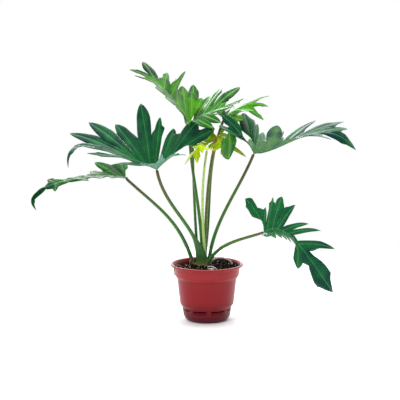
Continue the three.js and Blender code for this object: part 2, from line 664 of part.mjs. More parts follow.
const bores = [];
for (const [name, stem] of Object.entries(STEMS)) {
  const leaf = LEAVES[name];
  place(`stem_${name}`, toGeometry(carvedStem(stem, leaf)), stem.finish ?? 'stem');
  const blade = largestPiece(bladeSolid(leaf, BLADE_THICKNESS));
  place(`blade_${name}`, toGeometry(blade), leaf.finish ?? 'bladeDark');
  bores.push(toSolid(stemGeometry(stem, FIT_GAP)));
}
let crown = toSolid(crownGeometry());
for (const bore of bores) crown = crown.subtract(bore);
let soil = toSolid(soilGeometry()).subtract(toSolid(crownGeometry(FIT_GAP)));
for (const bore of bores) soil = soil.subtract(bore);
for (const [name, piece] of Object.entries(SMALL_PIECES)) {
  const tube = (spare) => {
    const [start, ...rest] = piece.path.map(v3);
    const curve = throughFour(start.addScaledVector(UP, -spare), ...rest);
    return toSolid(taperedTube(curve, (t) => piece.size(t).map((r) => r + spare), 6, 8));
  };
  place(name, toGeometry(tube(0)), piece.finish);
  crown = crown.subtract(tube(FIT_GAP));
  soil = soil.subtract(tube(FIT_GAP));
}
place('crown', toGeometry(largestPiece(crown)), 'crown');
place('soil', toGeometry(largestPiece(soil)), 'soil');
place('pot', toGeometry(potSolid()), 'pot');

export default group;
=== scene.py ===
# %% [markdown]
# # A potted philodendron
# The object is a young philodendron: nine deeply lobed leaves on long stems, in a thin plastic nursery
# pot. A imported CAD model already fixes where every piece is. Each cell below builds the finer piece that
# stands for one of the model's nodes, in the same place, and gives it the finish of the real thing.
# Lengths that belong to the plant are written in millimetres and turned to metres when they are used.

import math
import random

import bmesh
import bpy
from mathutils import Matrix, Vector, noise


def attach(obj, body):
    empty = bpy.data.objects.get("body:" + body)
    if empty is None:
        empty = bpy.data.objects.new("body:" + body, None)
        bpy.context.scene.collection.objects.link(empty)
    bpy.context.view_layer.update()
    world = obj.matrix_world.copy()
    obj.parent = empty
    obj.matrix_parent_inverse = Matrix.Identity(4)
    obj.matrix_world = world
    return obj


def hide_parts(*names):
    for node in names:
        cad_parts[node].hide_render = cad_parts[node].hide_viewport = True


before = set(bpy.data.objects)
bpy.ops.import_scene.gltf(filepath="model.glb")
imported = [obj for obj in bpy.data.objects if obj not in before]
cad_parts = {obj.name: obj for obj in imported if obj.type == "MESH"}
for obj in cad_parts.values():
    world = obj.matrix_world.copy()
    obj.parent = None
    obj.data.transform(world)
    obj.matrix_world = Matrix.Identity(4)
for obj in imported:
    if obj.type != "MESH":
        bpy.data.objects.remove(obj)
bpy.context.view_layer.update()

# %% [markdown]
# ## Small helpers
# A shader wants linear colours, while a colour read from a photograph is sRGB, so one function turns hex
# values to linear ones. Node trees are easier to read when a node, its settings and its links are one
# line, so one function does just that: a link from a node is from its first output. A third turns a
# finished bmesh into an object that rides on the plant.

# %% Helpers for colours and nodes
MM = 0.001
UP = Vector((0, 0, 1))


def linear(hex_colour):
    parts = [int(hex_colour[i : i + 2], 16) / 255 for i in (1, 3, 5)]
    return [p / 12.92 if p <= 0.04045 else ((p + 0.055) / 1.055) ** 2.4 for p in parts] + [1.0]


def add(tree, kind, values=(), links=(), **properties):
    node = tree.nodes.new("ShaderNode" + kind)
    for name, value in properties.items():
        setattr(node, name, value)
    for socket, value in dict(values).items():
        node.inputs[socket].default_value = value
    for socket, source in dict(links).items():
        output = source.outputs[0] if hasattr(source, "outputs") else source
        tree.links.new(output, node.inputs[socket])
    return node


def new_material(name):
    material = bpy.data.materials.new(name)
    material.use_nodes = True
    material.node_tree.nodes.clear()
    return material, material.node_tree


print("a mid grey is", round(linear("#808080")[0], 3), "in linear light")


# %% Helpers for pieces
def new_object(name, shape, materials):
    mesh = bpy.data.meshes.new(name)
    shape.to_mesh(mesh)
    shape.free()
    mesh.shade_smooth()
    for material in materials:
        mesh.materials.append(material)
    thing = bpy.data.objects.new(name, mesh)
    bpy.context.scene.collection.objects.link(thing)
    return thing


def make_piece(name, shape, materials, stands_for=()):
    piece = new_object(name, shape, materials)
    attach(piece, "root")
    if stands_for:
        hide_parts(*stands_for)
    print(name, len(piece.data.polygons), "faces")
    return piece


# %% [markdown]
# ## The camera
# The photograph looks slightly down on the pot from a few metres away with a long lens. The distance and
# the elevation were found from how flat the pot's rim looks, and the lens from the pot's size in the
# picture.

# %% Camera
PICTURE_WIDTH = 400  # pixels
FOCAL_LENGTH = 1673  # in the same pixels
CAMERA_DISTANCE = 3.2
CAMERA_ELEVATION = math.radians(9)
LOOK_AT = Vector((-0.0132, 0, 0.233))

lens = bpy.data.cameras.new("camera")
lens.sensor_width = 36
lens.lens = lens.sensor_width * FOCAL_LENGTH / PICTURE_WIDTH
camera = bpy.data.objects.new("camera", lens)
bpy.context.scene.collection.objects.link(camera)
back = Vector((0, -math.cos(CAMERA_ELEVATION), math.sin(CAMERA_ELEVATION)))
camera.location = LOOK_AT + CAMERA_DISTANCE * back
camera.rotation_euler = (math.pi / 2 - CAMERA_ELEVATION, 0, 0)
bpy.context.scene.camera = camera
print("lens", round(lens.lens, 1), "mm")

# %% [markdown]
# ## The studio
# The floor is one plain pale sheet. The camera sees the surround as plain white, but what a leaf reflects
# of it is dim at the front and bright behind the plant, as in a studio with a lit back wall. Three large
# soft lamps keep the shadows faint, and leaves don't mirror them. A fourth one, far behind, is mirrored:
# it gives the level leaves the pale glare that they have in the picture.

# %% Floor
FLOOR_RADIUS = 0.75
FLOOR_DROP = 0.5 * MM  # keeps the sheet clear of the pot's underside

floor_stuff, tree = new_material("white_paper")
paper = add(tree, "BsdfPrincipled", {"Base Color": linear("#fbfbfb"), "Roughness": 0.9})
add(tree, "OutputMaterial", links={"Surface": paper})
shape = bmesh.new()
bmesh.ops.create_circle(shape, cap_ends=True, radius=FLOOR_RADIUS, segments=96)
bmesh.ops.translate(shape, vec=(0, 0, -FLOOR_DROP), verts=shape.verts)
new_object("floor", shape, [floor_stuff])
print("floor:", 2 * FLOOR_RADIUS, "m across")

# %% Surround
FRONT_GLOW, BACK_GLOW = 0.18, 2.0  # how bright a leaf finds the surround
FRONT_END, BACK_START = -0.6, 0.95  # how far back a ray points where each of them begins

world = bpy.data.worlds.new("white_surround")
bpy.context.scene.world = world
world.use_nodes = True
tree = world.node_tree
tree.nodes.clear()
sight = add(tree, "LightPath")
toward = add(tree, "TexCoord")
way = add(tree, "SeparateXYZ", links={0: toward.outputs["Generated"]})
glow = add(tree, "MapRange", {"From Min": FRONT_END, "From Max": BACK_START, "To Min": FRONT_GLOW,
                              "To Max": BACK_GLOW}, {"Value": way.outputs["Y"]},
           interpolation_type="SMOOTHSTEP")
level = add(tree, "Mix", {3: 1.0}, {0: sight.outputs["Is Camera Ray"], 2: glow})
surround = add(tree, "Background", {"Color": linear("#ffffff")}, {"Strength": level})
add(tree, "OutputWorld", links={"Surface": surround})
bpy.context.scene.view_settings.view_transform = "Standard"  # colours come out as they are set
print("surround:", FRONT_GLOW, "in front to", BACK_GLOW, "behind")

# %% Lamps
LAMPS_AIM = Vector((0, 0, 0.25))


def soft_light(name, place, size, watts, mirrored=False):
    lamp = bpy.data.lights.new(name, "AREA")
    lamp.shape = "DISK"
    lamp.size = size
    lamp.energy = watts
    light = bpy.data.objects.new(name, lamp)
    bpy.context.scene.collection.objects.link(light)
    light.location = place
    light.visible_glossy = mirrored
    light.rotation_euler = (LAMPS_AIM - Vector(place)).to_track_quat("-Z", "Y").to_euler()


soft_light("key", (-1.0, -1.7, 1.6), 1.0, 34)
soft_light("overhead", (0.1, 0.3, 2.2), 1.6, 36)
soft_light("fill", (1.9, -1.3, 0.8), 1.4, 8)
soft_light("backlight", (-0.5, 2.3, 1.05), 0.9, 12, mirrored=True)  # the pale glare on level leaves
print("lamps:", len(bpy.data.lights))

# %% [markdown]
# ## Curves
# Stems, ribs and roots all bend in space. A Bezier curve is a few points blended again and again until
# one is left, so a curve can be a plain function of t from 0 to 1. Four points that a stem passes are
# easier to read off a picture than handles are, so one helper finds the handles from them.


# %% Bezier curves as functions
NUDGE = 0.001  # of a curve, to either side of the place where its heading is wanted


def bezier(*handles):
    def at(t):
        points = list(handles)
        while len(points) > 1:
            points = [p.lerp(q, t) for p, q in zip(points, points[1:])]
        return points[0]

    return at


def through_four(points_mm):
    a, b, c, d = (Vector(p) * MM for p in points_mm)
    near = (-5 * a + 18 * b - 9 * c + 2 * d) / 6
    far = (-5 * d + 18 * c - 9 * b + 2 * a) / 6
    return bezier(a, near, far, d)


def heading(curve, t):
    return (curve(min(t + NUDGE, 1)) - curve(max(t - NUDGE, 0))).normalized()


def smoothstep(t):
    x = min(1, max(0, t))
    return x * x * (3 - 2 * x)


bend = through_four([(0, 0, 0), (0, 0, 10), (5, 0, 20), (15, 0, 25)])
print("the curve through four points passes the second at", bend(1 / 3) / MM, "mm")

# %% [markdown]
# ## A tube along a curve
# A stem is a circle pushed along a curve. The circle could be a curve object's bevel, but then it can't
# widen into the flat foot that a leaf stem has. So the ring is extruded step by step, and each new ring
# is moved, turned and scaled by one matrix. How far along it is goes into an attribute, for the colours
# to follow.


# %% Tubes
def ring_place(curve, t, size):
    along = heading(curve, t)
    across = (Vector((1, 0, 0)) - along * along.x).normalized()
    deep = along.cross(across)
    wide, thick = size(t)
    turn = Matrix((across * wide, deep * thick, along * MM)).transposed().to_4x4()
    return Matrix.Translation(curve(t)) @ turn


def tube(shape, curve, size, sides=16, steps=24):
    far = shape.verts.layers.float.get("along") or shape.verts.layers.float.new("along")
    first = bmesh.ops.create_circle(shape, cap_ends=True, radius=1, segments=sides)["verts"]
    made = set(first)
    place = ring_place(curve, 0, size)
    bmesh.ops.transform(shape, matrix=place, verts=first)
    edges = list({e for v in first for e in v.link_edges})
    for i in range(1, steps + 1):
        grown = bmesh.ops.extrude_edge_only(shape, edges=edges)["geom"]
        ring = [g for g in grown if isinstance(g, bmesh.types.BMVert)]
        edges = [g for g in grown if isinstance(g, bmesh.types.BMEdge) and set(g.verts) <= set(ring)]
        moved = ring_place(curve, i / steps, size)
        bmesh.ops.transform(shape, matrix=moved @ place.inverted(), verts=ring)
        place = moved
        made |= set(ring)
        for v in ring:
            v[far] = i / steps
    bmesh.ops.holes_fill(shape, edges=edges, sides=0)
    faces = list({f for v in made for f in v.link_faces})
    bmesh.ops.recalc_face_normals(shape, faces=faces)


trial = bmesh.new()
tube(trial, bend, lambda t: (MM, MM), sides=8, steps=4)
print("a tube with 8 sides and 4 steps has", len(trial.faces), "faces")
trial.free()

# %% [markdown]
# ## The pot's plastic
# The pot is thin polystyrene sheet, drawn hot over a mould. It has a brick-red colour and a satin skin
# with faint waves from the mould. It is darker towards the base, and its lighter collar is painted light.
# The same recipe with darker colours makes the material of the inside, whose darkness is painted shade.


# %% Vacuum-formed polystyrene
FOOT_FADE = 50  # mm: the foot's darker colour has faded out at this height
# mm: between these heights the collar's painted light fades in
COLLAR_LIGHT_FADE = (78, 92)
CREASE_SHADE_LEVEL = 81.2  # the painted shade ring of the groove under the collar
CREASE_SHADE_SIZE = (0.3, 1.2)
RIM_HIGHLIGHT_BAND = (109, 109.8)  # the top of the rim, where a pale highlight is painted


def formed_polystyrene(name, foot_colour, body_colour, lit_collar_colour):
    material, tree = new_material(name)
    place = add(tree, "TexCoord").outputs["Object"]
    height = {"Value": add(tree, "SeparateXYZ", links={0: place}).outputs["Z"]}
    low = add(tree, "MapRange", {"From Max": FOOT_FADE * MM}, height, interpolation_type="SMOOTHSTEP")
    # The lighter collar colour is painted light.
    collar_light = add(tree, "MapRange", {"From Min": COLLAR_LIGHT_FADE[0] * MM, "From Max": COLLAR_LIGHT_FADE[1] * MM},
               height, interpolation_type="SMOOTHSTEP")
    # Clouds and waves about 36 mm across: 1 / 28 of a metre.
    cloud = add(tree, "TexNoise", {"Scale": 28, "Detail": 3}, {"Vector": place})
    body = add(tree, "Mix", {6: linear(foot_colour), 7: linear(body_colour)}, {0: low}, data_type="RGBA")
    collar = add(tree, "Mix", {7: linear(lit_collar_colour)}, {0: collar_light, 6: body.outputs[2]}, data_type="RGBA")
    cloudy = add(tree, "MapRange", {"To Min": 0.0, "To Max": 0.18}, {"Value": cloud})
    colour = add(tree, "Mix", {7: linear(foot_colour)}, {0: cloudy, 6: collar.outputs[2]},
                 data_type="RGBA")
    # A dark ring under the collar is painted shade of the groove there.
    off_crease_shade = add(tree, "Math", {1: CREASE_SHADE_LEVEL * MM}, {0: height["Value"]}, operation="SUBTRACT")
    crease_shade_distance = add(tree, "Math", links={0: off_crease_shade}, operation="ABSOLUTE")
    crease = add(tree, "MapRange", {"From Min": CREASE_SHADE_SIZE[0] * MM, "From Max": CREASE_SHADE_SIZE[1] * MM,
                                    "To Min": 0.6, "To Max": 0.0}, {"Value": crease_shade_distance})
    crease_shaded = add(tree, "Mix", {7: linear("#3c0610")}, {0: crease, 6: colour.outputs[2]},
                  data_type="RGBA")
    # A pale painted highlight along the top of the rim.
    edge = add(tree, "MapRange",
               {"From Min": RIM_HIGHLIGHT_BAND[0] * MM, "From Max": RIM_HIGHLIGHT_BAND[1] * MM, "To Max": 0.3}, height)
    rim_highlighted = add(tree, "Mix", {7: linear("#d9b4b6")}, {0: edge, 6: crease_shaded.outputs[2]}, data_type="RGBA")
    # The skin's grain, 1.1 mm across. The mould's own is finer, but wouldn't show.
    scuff = add(tree, "TexNoise", {"Scale": 900, "Detail": 2}, {"Vector": place})
    rough = add(tree, "MapRange", {"To Min": 0.3, "To Max": 0.5}, {"Value": scuff})
    wave = add(tree, "Bump", {"Strength": 0.25, "Distance": 0.0006}, {"Height": cloud})
    skin = add(tree, "Bump", {"Strength": 0.15, "Distance": 0.0001}, {"Height": scuff, "Normal": wave})
    satin = {"IOR": 1.5, "Specular IOR Level": 0.25, "Sheen Weight": 0.2, "Sheen Roughness": 0.25,
             "Sheen Tint": linear("#c9b4ec")}
    shader = add(tree, "BsdfPrincipled", satin,
                 {"Base Color": rim_highlighted.outputs[2], "Roughness": rough, "Normal": skin})
    add(tree, "OutputMaterial", links={"Surface": shader})
    return material


pot_plastic = formed_polystyrene("vacuum_formed_polystyrene", "#500012", "#870a14", "#951c22")
# The inside's darker colours are painted shade.
pot_inside_shaded = formed_polystyrene("polystyrene_inside_painted_shade", "#3c0410", "#580a12", "#640c14")
print("pot materials:", pot_plastic.name, pot_inside_shaded.name)

# %% [markdown]
# ## The pot
# A pot is a profile turned about its axis, so its section is drawn as a closed wire and spun through a
# full turn. The drainage slots and the floor holes are faces that are deleted from the outer and the
# inner wall, and the two openings are then bridged, which gives each of them its walls without any
# boolean cut. The edge of a floor hole is drawn to a true circle before that.

# %% Section of the pot
POT_OUTSIDE = [
    (36, 0), (38.6, 0.7), (41, 2.8), (43.2, 6.2), (44.6, 9.6), (45.4, 13), (46.6, 21.4), (47, 23.8),
    (47.7, 26.2), (49.4, 29.6), (51.1, 31.4), (51.8, 34), (54, 53), (56.8, 78.2), (57.3, 80.6),
    (59.2, 84.6), (61.3, 87.2), (62.1, 89.4), (63.4, 101.8), (63.9, 104), (65, 105.1), (68.6, 105.6),
    (69.6, 106.2), (70, 107.4), (69.9, 108.8), (69, 109.7), (67.6, 110), (66.1, 109.7), (64.9, 108.6),
]
POT_WALL = 1.4
RIM_FOOT = 104  # below this height the inside runs parallel to the outside
UNDER_RIM = (62.9, 106)
FLOOR_RINGS = range(20, 33)  # a ring of faces each millimetre, where the holes are


def pot_section(shape):
    inside = [(r - POT_WALL, max(z, POT_WALL)) for r, z in reversed(POT_OUTSIDE) if z < RIM_FOOT]
    below = [(0, 0), *((r, 0) for r in FLOOR_RINGS)]
    above = [(r, POT_WALL) for r, _ in reversed(below)]
    profile = [*below, *POT_OUTSIDE, UNDER_RIM, *inside, *above]
    verts = [shape.verts.new(Vector((r, 0, z)) * MM) for r, z in profile]
    return verts + [shape.edges.new(pair) for pair in zip(verts, verts[1:])]


print("pot:", 2 * max(r for r, z in POT_OUTSIDE), "mm across,", max(z for r, z in POT_OUTSIDE), "mm tall")

# %% Which faces are a slot or a hole
SPIN_STEPS = 144
SLOTS = 8
SLOT_STEPS = 14  # of the spin, out of the 18 that each slot and its bridge share
SLOT_LEVEL = (21, 24.2)
SLOT_REACH = 40  # the slots lie further than this from the axis
SLOT_TURN = 6.25  # degrees, two and a half steps of the spin
FLOOR_HOLES = 6
HOLE_RING = 26
HOLE_RADIUS = 4
FLOOR_TOP = 2  # faces below this height are the floor's


def slot_number(face):
    middle = face.calc_center_median() / MM
    if not SLOT_LEVEL[0] < middle.z < SLOT_LEVEL[1] or middle.xy.length < SLOT_REACH:
        return None
    step = (math.degrees(math.atan2(middle.y, middle.x)) - SLOT_TURN) % 360 / (360 / SPIN_STEPS)
    share = SPIN_STEPS / SLOTS
    bridge = share - SLOT_STEPS
    return int(step // share) if bridge / 2 <= step % share <= share - bridge / 2 else None


def hole_centre(number):
    turn = (number + 0.5) / FLOOR_HOLES * 2 * math.pi
    return Vector((math.cos(turn), math.sin(turn))) * HOLE_RING * MM


def hole_number(face):
    middle = face.calc_center_median()
    if middle.z > FLOOR_TOP * MM:
        return None
    near = [n for n in range(FLOOR_HOLES) if (middle.xy - hole_centre(n)).length < HOLE_RADIUS * MM]
    return near[0] if near else None


print("a slot takes", 360 / SPIN_STEPS * SLOT_STEPS, "degrees of the girth")


# %% Spin the pot and open it
def open_through(shape, number_of, centre_of=None):
    groups = {}
    for face in shape.faces:
        number = number_of(face)
        if number is not None:
            groups.setdefault(number, []).append(face)
    for number, faces in groups.items():
        edges = {e for f in faces for e in f.edges}
        rim = [e for e in edges if sum(f in faces for f in e.link_faces) == 1]
        bmesh.ops.delete(shape, geom=faces, context="FACES")
        rim = [e for e in rim if e.is_valid]
        if centre_of:
            for vert in {v for e in rim for v in e.verts}:
                away = (vert.co.xy - centre_of(number)).normalized()
                vert.co.xy = centre_of(number) + away * HOLE_RADIUS * MM
        bmesh.ops.bridge_loops(shape, edges=rim)
    return len(groups)


shape = bmesh.new()
bmesh.ops.spin(shape, geom=pot_section(shape), axis=(0, 0, 1), cent=(0, 0, 0), angle=2 * math.pi,
               steps=SPIN_STEPS, use_merge=True)
bmesh.ops.remove_doubles(shape, verts=shape.verts, dist=1e-6)
bmesh.ops.recalc_face_normals(shape, faces=shape.faces)
print("drainage slots:", open_through(shape, slot_number))
print("floor holes:", open_through(shape, hole_number, hole_centre))
print("edges left open:", sum(len(e.link_faces) != 2 for e in shape.edges))
bmesh.ops.recalc_face_normals(shape, faces=shape.faces)
# Faces of the inner wall below the rim get the darker material, whose darkness is painted shade.
for face in shape.faces:
    middle = face.calc_center_median()
    faces_axis = face.normal.dot(middle * Vector((1, 1, 0))) < 0
    face.material_index = int(faces_axis and middle.z < RIM_HIGHLIGHT_BAND[0] * MM)
make_piece("nursery_pot", shape, [pot_plastic, pot_inside_shaded], ["pot"])

# %% [markdown]
# ## Potting mix
# The mix is dark peat with bark in it: nearly black where it is damp, brown on top of the crumbs, and
# never shiny. Fine noise gives the crumbs, a few millimetres across, and a coarser one the damp patches.


# %% Peat and bark
def peat(name, damp, dry):
    material, tree = new_material(name)
    place = add(tree, "TexCoord").outputs["Object"]
    # Damp patches are about 11 mm across and crumbs about 1.4 mm.
    patch = add(tree, "TexNoise", {"Scale": 90, "Detail": 4}, {"Vector": place})
    grain = add(tree, "TexNoise", {"Scale": 700, "Detail": 6, "Roughness": 0.7}, {"Vector": place})
    fine = add(tree, "MapRange", {"From Min": 0.4, "From Max": 0.75}, {"Value": grain})
    spot = add(tree, "Math", links={0: fine, 1: patch}, operation="MULTIPLY")
    colour = add(tree, "Mix", {6: linear(damp), 7: linear(dry)}, {0: spot}, data_type="RGBA")
    crumb = add(tree, "Bump", {"Strength": 0.9, "Distance": 0.0015}, {"Height": grain})
    shader = add(tree, "BsdfPrincipled", {"Roughness": 0.95, "IOR": 1.4, "Specular IOR Level": 0.15},
                 {"Base Color": colour.outputs[2], "Normal": crumb})
    add(tree, "OutputMaterial", links={"Surface": shader})
    return material


damp_peat = peat("damp_peat", "#010000", "#2c211c")
bark = peat("shredded_bark", "#2c1d17", "#7b6152")
pale_bark = peat("dry_bark_fibre", "#b59d94", "#f0e4de")
print("mix materials:", damp_peat.name, bark.name, pale_bark.name)

# %% [markdown]
# ## The root ball and its crumbs
# The root ball fills the pot, so it is a spun profile too. Its top is then lifted by a height function:
# lower at the left, and mounded at the plant. Loose crumbs and bark are small icospheres, squashed,
# turned and scattered over that same height, because a displaced surface alone looks like rubber.

# %% Potting mix
SOIL_RADIUS = 60.7
SOIL_RINGS = 34
SOIL_WALL = [(60.6, 92), (59, 86), (55.2, 80), (49.8, 34), (45.6, 27), (43, 12), (41, 6), (38, 2.2),
             (0, 2.2)]
SOIL_TOP = 106  # before its height function lifts it
CROWN_CENTRE = (-8, 0)
LUMP_SCALE = 0.25  # lumps of about 4 mm
LUMP_HEIGHT = 1.1
CRUMB_BED = 0.6  # how far the crumbs stand out of the surface


def soil_height(x, y):  # a mound at the crown, a dip at the left, and small waves
    mound = 2 * math.exp(-((math.hypot(x - CROWN_CENTRE[0], y - CROWN_CENTRE[1]) / 26) ** 2))
    dip = 8 * smoothstep((-x * 0.8 + y * 0.3 - 14) / 40)
    waves = 0.9 * math.sin(x * 0.33 + y * 0.21) + 0.8 * math.sin(y * 0.41 - x * 0.17)
    return 106.4 + mound - dip + waves + 0.5 * math.sin(x * 0.9 + 1)


def root_ball():
    shape = bmesh.new()
    top = [(SOIL_RADIUS * i / SOIL_RINGS, SOIL_TOP) for i in range(SOIL_RINGS + 1)]
    verts = [shape.verts.new(Vector((r, 0, z)) * MM) for r, z in top + SOIL_WALL]
    edges = [shape.edges.new(pair) for pair in zip(verts, verts[1:])]
    bmesh.ops.spin(shape, geom=verts + edges, axis=(0, 0, 1), cent=(0, 0, 0), angle=2 * math.pi, steps=120,
                   use_merge=True)
    bmesh.ops.remove_doubles(shape, verts=shape.verts, dist=1e-6)
    for v in shape.verts:
        if v.co.z > 100 * MM:  # a vertex of the top
            x, y = v.co.x / MM, v.co.y / MM
            lump = noise.fractal(Vector((x, y, 0)) * LUMP_SCALE, 1, 2, 4)
            v.co.z = (soil_height(x, y) - CRUMB_BED + LUMP_HEIGHT * lump) * MM
    bmesh.ops.recalc_face_normals(shape, faces=shape.faces)
    return shape


make_piece("potting_mix", root_ball(), [damp_peat], ["soil"])


# %% Crumbs
def crumbs(count, sizes, stretch, seed):
    pick = random.Random(seed)
    shape = bmesh.new()
    for _ in range(count):
        turn = pick.uniform(0, 2 * math.pi)
        reach = SOIL_RADIUS * 0.95 * math.sqrt(pick.random())  # clear of the pot's wall
        x, y = reach * math.cos(turn), reach * math.sin(turn)
        size = pick.uniform(*sizes)
        made = bmesh.ops.create_icosphere(shape, subdivisions=1, radius=size * MM)["verts"]
        for v in made:
            v.co *= pick.uniform(0.75, 1.25)
        bmesh.ops.scale(shape, vec=(pick.uniform(*stretch), 1, pick.uniform(0.4, 0.8)), verts=made)
        spin = Matrix.Rotation(pick.uniform(0, 6.3), 3, "Z")
        tilt = Matrix.Rotation(pick.uniform(-0.5, 0.5), 3, "Y")
        bmesh.ops.rotate(shape, cent=(0, 0, 0), matrix=spin @ tilt, verts=made)
        bmesh.ops.translate(shape, vec=Vector((x, y, soil_height(x, y))) * MM, verts=made)
    return shape


# How many, their radius in millimetres, how far they are stretched, and the seed.
make_piece("peat_crumbs", crumbs(620, (0.9, 2.1), (0.8, 1.4), 3), [damp_peat])
make_piece("bark_crumbs", crumbs(170, (0.8, 1.8), (1.0, 2.6), 4), [bark])
make_piece("pale_fibres", crumbs(120, (0.5, 1.1), (1.2, 4.0), 5), [pale_bark])

# %% [markdown]
# ## Stem skin
# A philodendron's stem is smooth and waxy, deep green at the foot and greyer or browner towards the leaf,
# and tan where it leaves the crown. The colour follows the length, so it reads the tube's own attribute.
# Short pale dashes along the stem are the pores that real stems have.


# %% Waxy stem
def waxy_stem(name, foot, middle, top, turn=0.55):
    material, tree = new_material(name)
    place = add(tree, "TexCoord").outputs["Object"]
    along = {"Value": add(tree, "Attribute", attribute_name="along").outputs["Fac"]}
    lower = add(tree, "MapRange", {"From Min": 0.02, "From Max": 0.45}, along)
    upper = add(tree, "MapRange", {"From Min": turn, "From Max": 1.0}, along)
    first = add(tree, "Mix", {6: linear(foot), 7: linear(middle)}, {0: lower}, data_type="RGBA")
    second = add(tree, "Mix", {7: linear(top)}, {0: upper, 6: first.outputs[2]}, data_type="RGBA")
    # Pale dashes 1.1 mm wide and eight times as long. Real ones are finer, but wouldn't show.
    long = add(tree, "Mapping", {"Scale": (1, 1, 0.12)}, {"Vector": place})
    streak = add(tree, "TexNoise", {"Scale": 900, "Detail": 3}, {"Vector": long})
    light = add(tree, "MapRange", {"From Min": 0.5, "From Max": 0.75, "To Max": 0.12}, {"Value": streak})
    streaked = add(tree, "Mix", {7: linear("#a9b88a")}, {0: light, 6: second.outputs[2]},
                   data_type="RGBA")
    earthy = add(tree, "MapRange",
                 {"From Min": 0.035, "From Max": 0.1, "To Min": 0.7, "To Max": 0.0}, along)
    colour = add(tree, "Mix", {7: linear("#8c7a4c")}, {0: earthy, 6: streaked.outputs[2]},
                 data_type="RGBA")
    skin = add(tree, "Bump", {"Strength": 0.3, "Distance": 0.0003}, {"Height": streak})
    shader = add(tree, "BsdfPrincipled", {"Roughness": 0.42, "IOR": 1.45},
                 {"Base Color": colour.outputs[2], "Normal": skin})
    add(tree, "OutputMaterial", links={"Surface": shader})
    return material


STEM_SKINS = {
    "green": waxy_stem("waxy_stem_green", "#1a5826", "#366a1c", "#5c5236"),
    "pale": waxy_stem("waxy_stem_pale", "#8fb35a", "#a3c46a", "#b4cc70"),
    "rusty": waxy_stem("waxy_stem_rusty", "#47722a", "#626c30", "#b0441c", turn=0.82),
}
print("stem skins:", *STEM_SKINS)

# %% [markdown]
# ## The leaf stems
# Each stem starts inside the crown, passes four points and ends under its blade, a little thicker at the
# foot. The large left leaf has a winged foot that clasps the others. A short rounded end closes each
# stem.

# %% Stem paths
STEMS = {  # four points, then the radius at the foot and at the leaf
    "low_left": dict(path=[(-23, 0, 97), (-54, -2, 173), (-97, -6, 224), (-155, -10, 277)],
        radius=(4, 2.8)),
    "left": dict(path=[(-8, -9, 98), (-28, -13, 169), (-67, -20, 228), (-95, -26, 296)],
        radius=(4, 3), wing=8),
    "top": dict(path=[(-16, 8, 95), (-22, 13, 188), (-26, 22, 284), (-27, 34, 381)], radius=(3.4, 2.2)),
    "top_left": dict(path=[(-9, 0, 97), (-15, 1, 206), (-28, 3, 298), (-32, 6, 384)], radius=(3.8, 2.6)),
    "young_front": dict(path=[(-1, -2, 97), (-7, -8, 178), (-8, -14, 253), (0, -20, 332)],
        radius=(3.4, 2.2)),
    "young_back": dict(path=[(-3, 7, 95), (-2, 4, 182), (4, 4, 271), (19, 10, 353)], radius=(3.6, 2.8)),
    "upper_right": dict(path=[(-9, 15, 94), (3, 18, 201), (9, 28, 291), (33, 44, 384)],
        radius=(3.6, 2.6)),
    "right": dict(path=[(4, 4, 96), (19, 5, 175), (54, 8, 248), (90, 10, 322)], radius=(4, 2.8)),
    "low_right": dict(path=[(-4, -17, 100), (23, -24, 141), (63, -36, 163), (108, -48, 179)],
        radius=(4, 2.6)),
}
print("stems:", len(STEMS))

# %% Stems
END_START = 0.985  # of the length, where the rounded end begins
WING_START, WING_LENGTH = 0.04, 0.3
WING_THINNING = 0.06  # of the wing's width is lost from the stem's thickness


def stem_size(stem):
    foot, head = stem["radius"]

    def size(t):
        rounding = max(0, (t - END_START) / (1 - END_START))
        radius = (foot + (head - foot) * math.sqrt(t)) * math.sqrt(max(0.02, 1 - rounding**2))
        wing = stem.get("wing", 0) * (1 - smoothstep((t - WING_START) / WING_LENGTH))
        return (radius + wing) * MM, (radius - WING_THINNING * wing) * MM

    return size


for name, stem in STEMS.items():
    shape = bmesh.new()
    tube(shape, through_four(stem["path"]), stem_size(stem), sides=20, steps=64)
    skin = {"young_front": "pale", "young_back": "rusty"}.get(name, "green")
    slot = "stem_pale" if skin == "pale" else "stem"
    make_piece("leaf_stem_" + name, shape, [STEM_SKINS[skin]], ["stem_" + name])

# %% [markdown]
# ## Leaf skin
# A blade is a thin waxy sheet. Above it is deep green, with pale veins in shallow creases and finer side
# veins that leave them at a slant; below it is a dull grey green. The pattern follows the veins, so it
# reads the UV map that each lobe carries: metres along the lobe's vein, and metres away from it.


# %% Where the veins are
HUB_LIGHT_REACH = 150  # mm: painted light makes the leaf brightest at its hub, and painted shade deepest this far out
VEIN_REACH = 12  # and a little brighter this near to a vein
SIDE_VEIN_SPACING = 6.5
SIDE_VEIN_SLANT = 0.8  # along the main vein for each step away from it
MAIN_VEIN = (0.2, 0.8)  # half the width of its core, and of its soft edge
CREASE_WIDTH = 4


def vein_distance(tree):
    """How far a point is from a main vein, and a wave that peaks on each side vein."""
    lobe = add(tree, "UVMap", uv_map="veins")
    split = add(tree, "SeparateXYZ", links={0: lobe})
    close = add(tree, "Math", links={0: split.outputs["X"], 1: split.outputs["Y"]}, operation="MINIMUM")
    slant = add(tree, "Math", {1: SIDE_VEIN_SLANT}, {0: split.outputs["Y"]}, operation="MULTIPLY")
    course = add(tree, "Math", links={0: split.outputs["X"], 1: slant}, operation="SUBTRACT")
    turns = add(tree, "Math", {1: 2 * math.pi / (SIDE_VEIN_SPACING * MM)}, {0: course},
                operation="MULTIPLY")
    ripple = add(tree, "Math", links={0: turns}, operation="COSINE")
    return close, ripple


print("side veins every", SIDE_VEIN_SPACING, "mm, main veins", 2 * MAIN_VEIN[1], "mm wide")


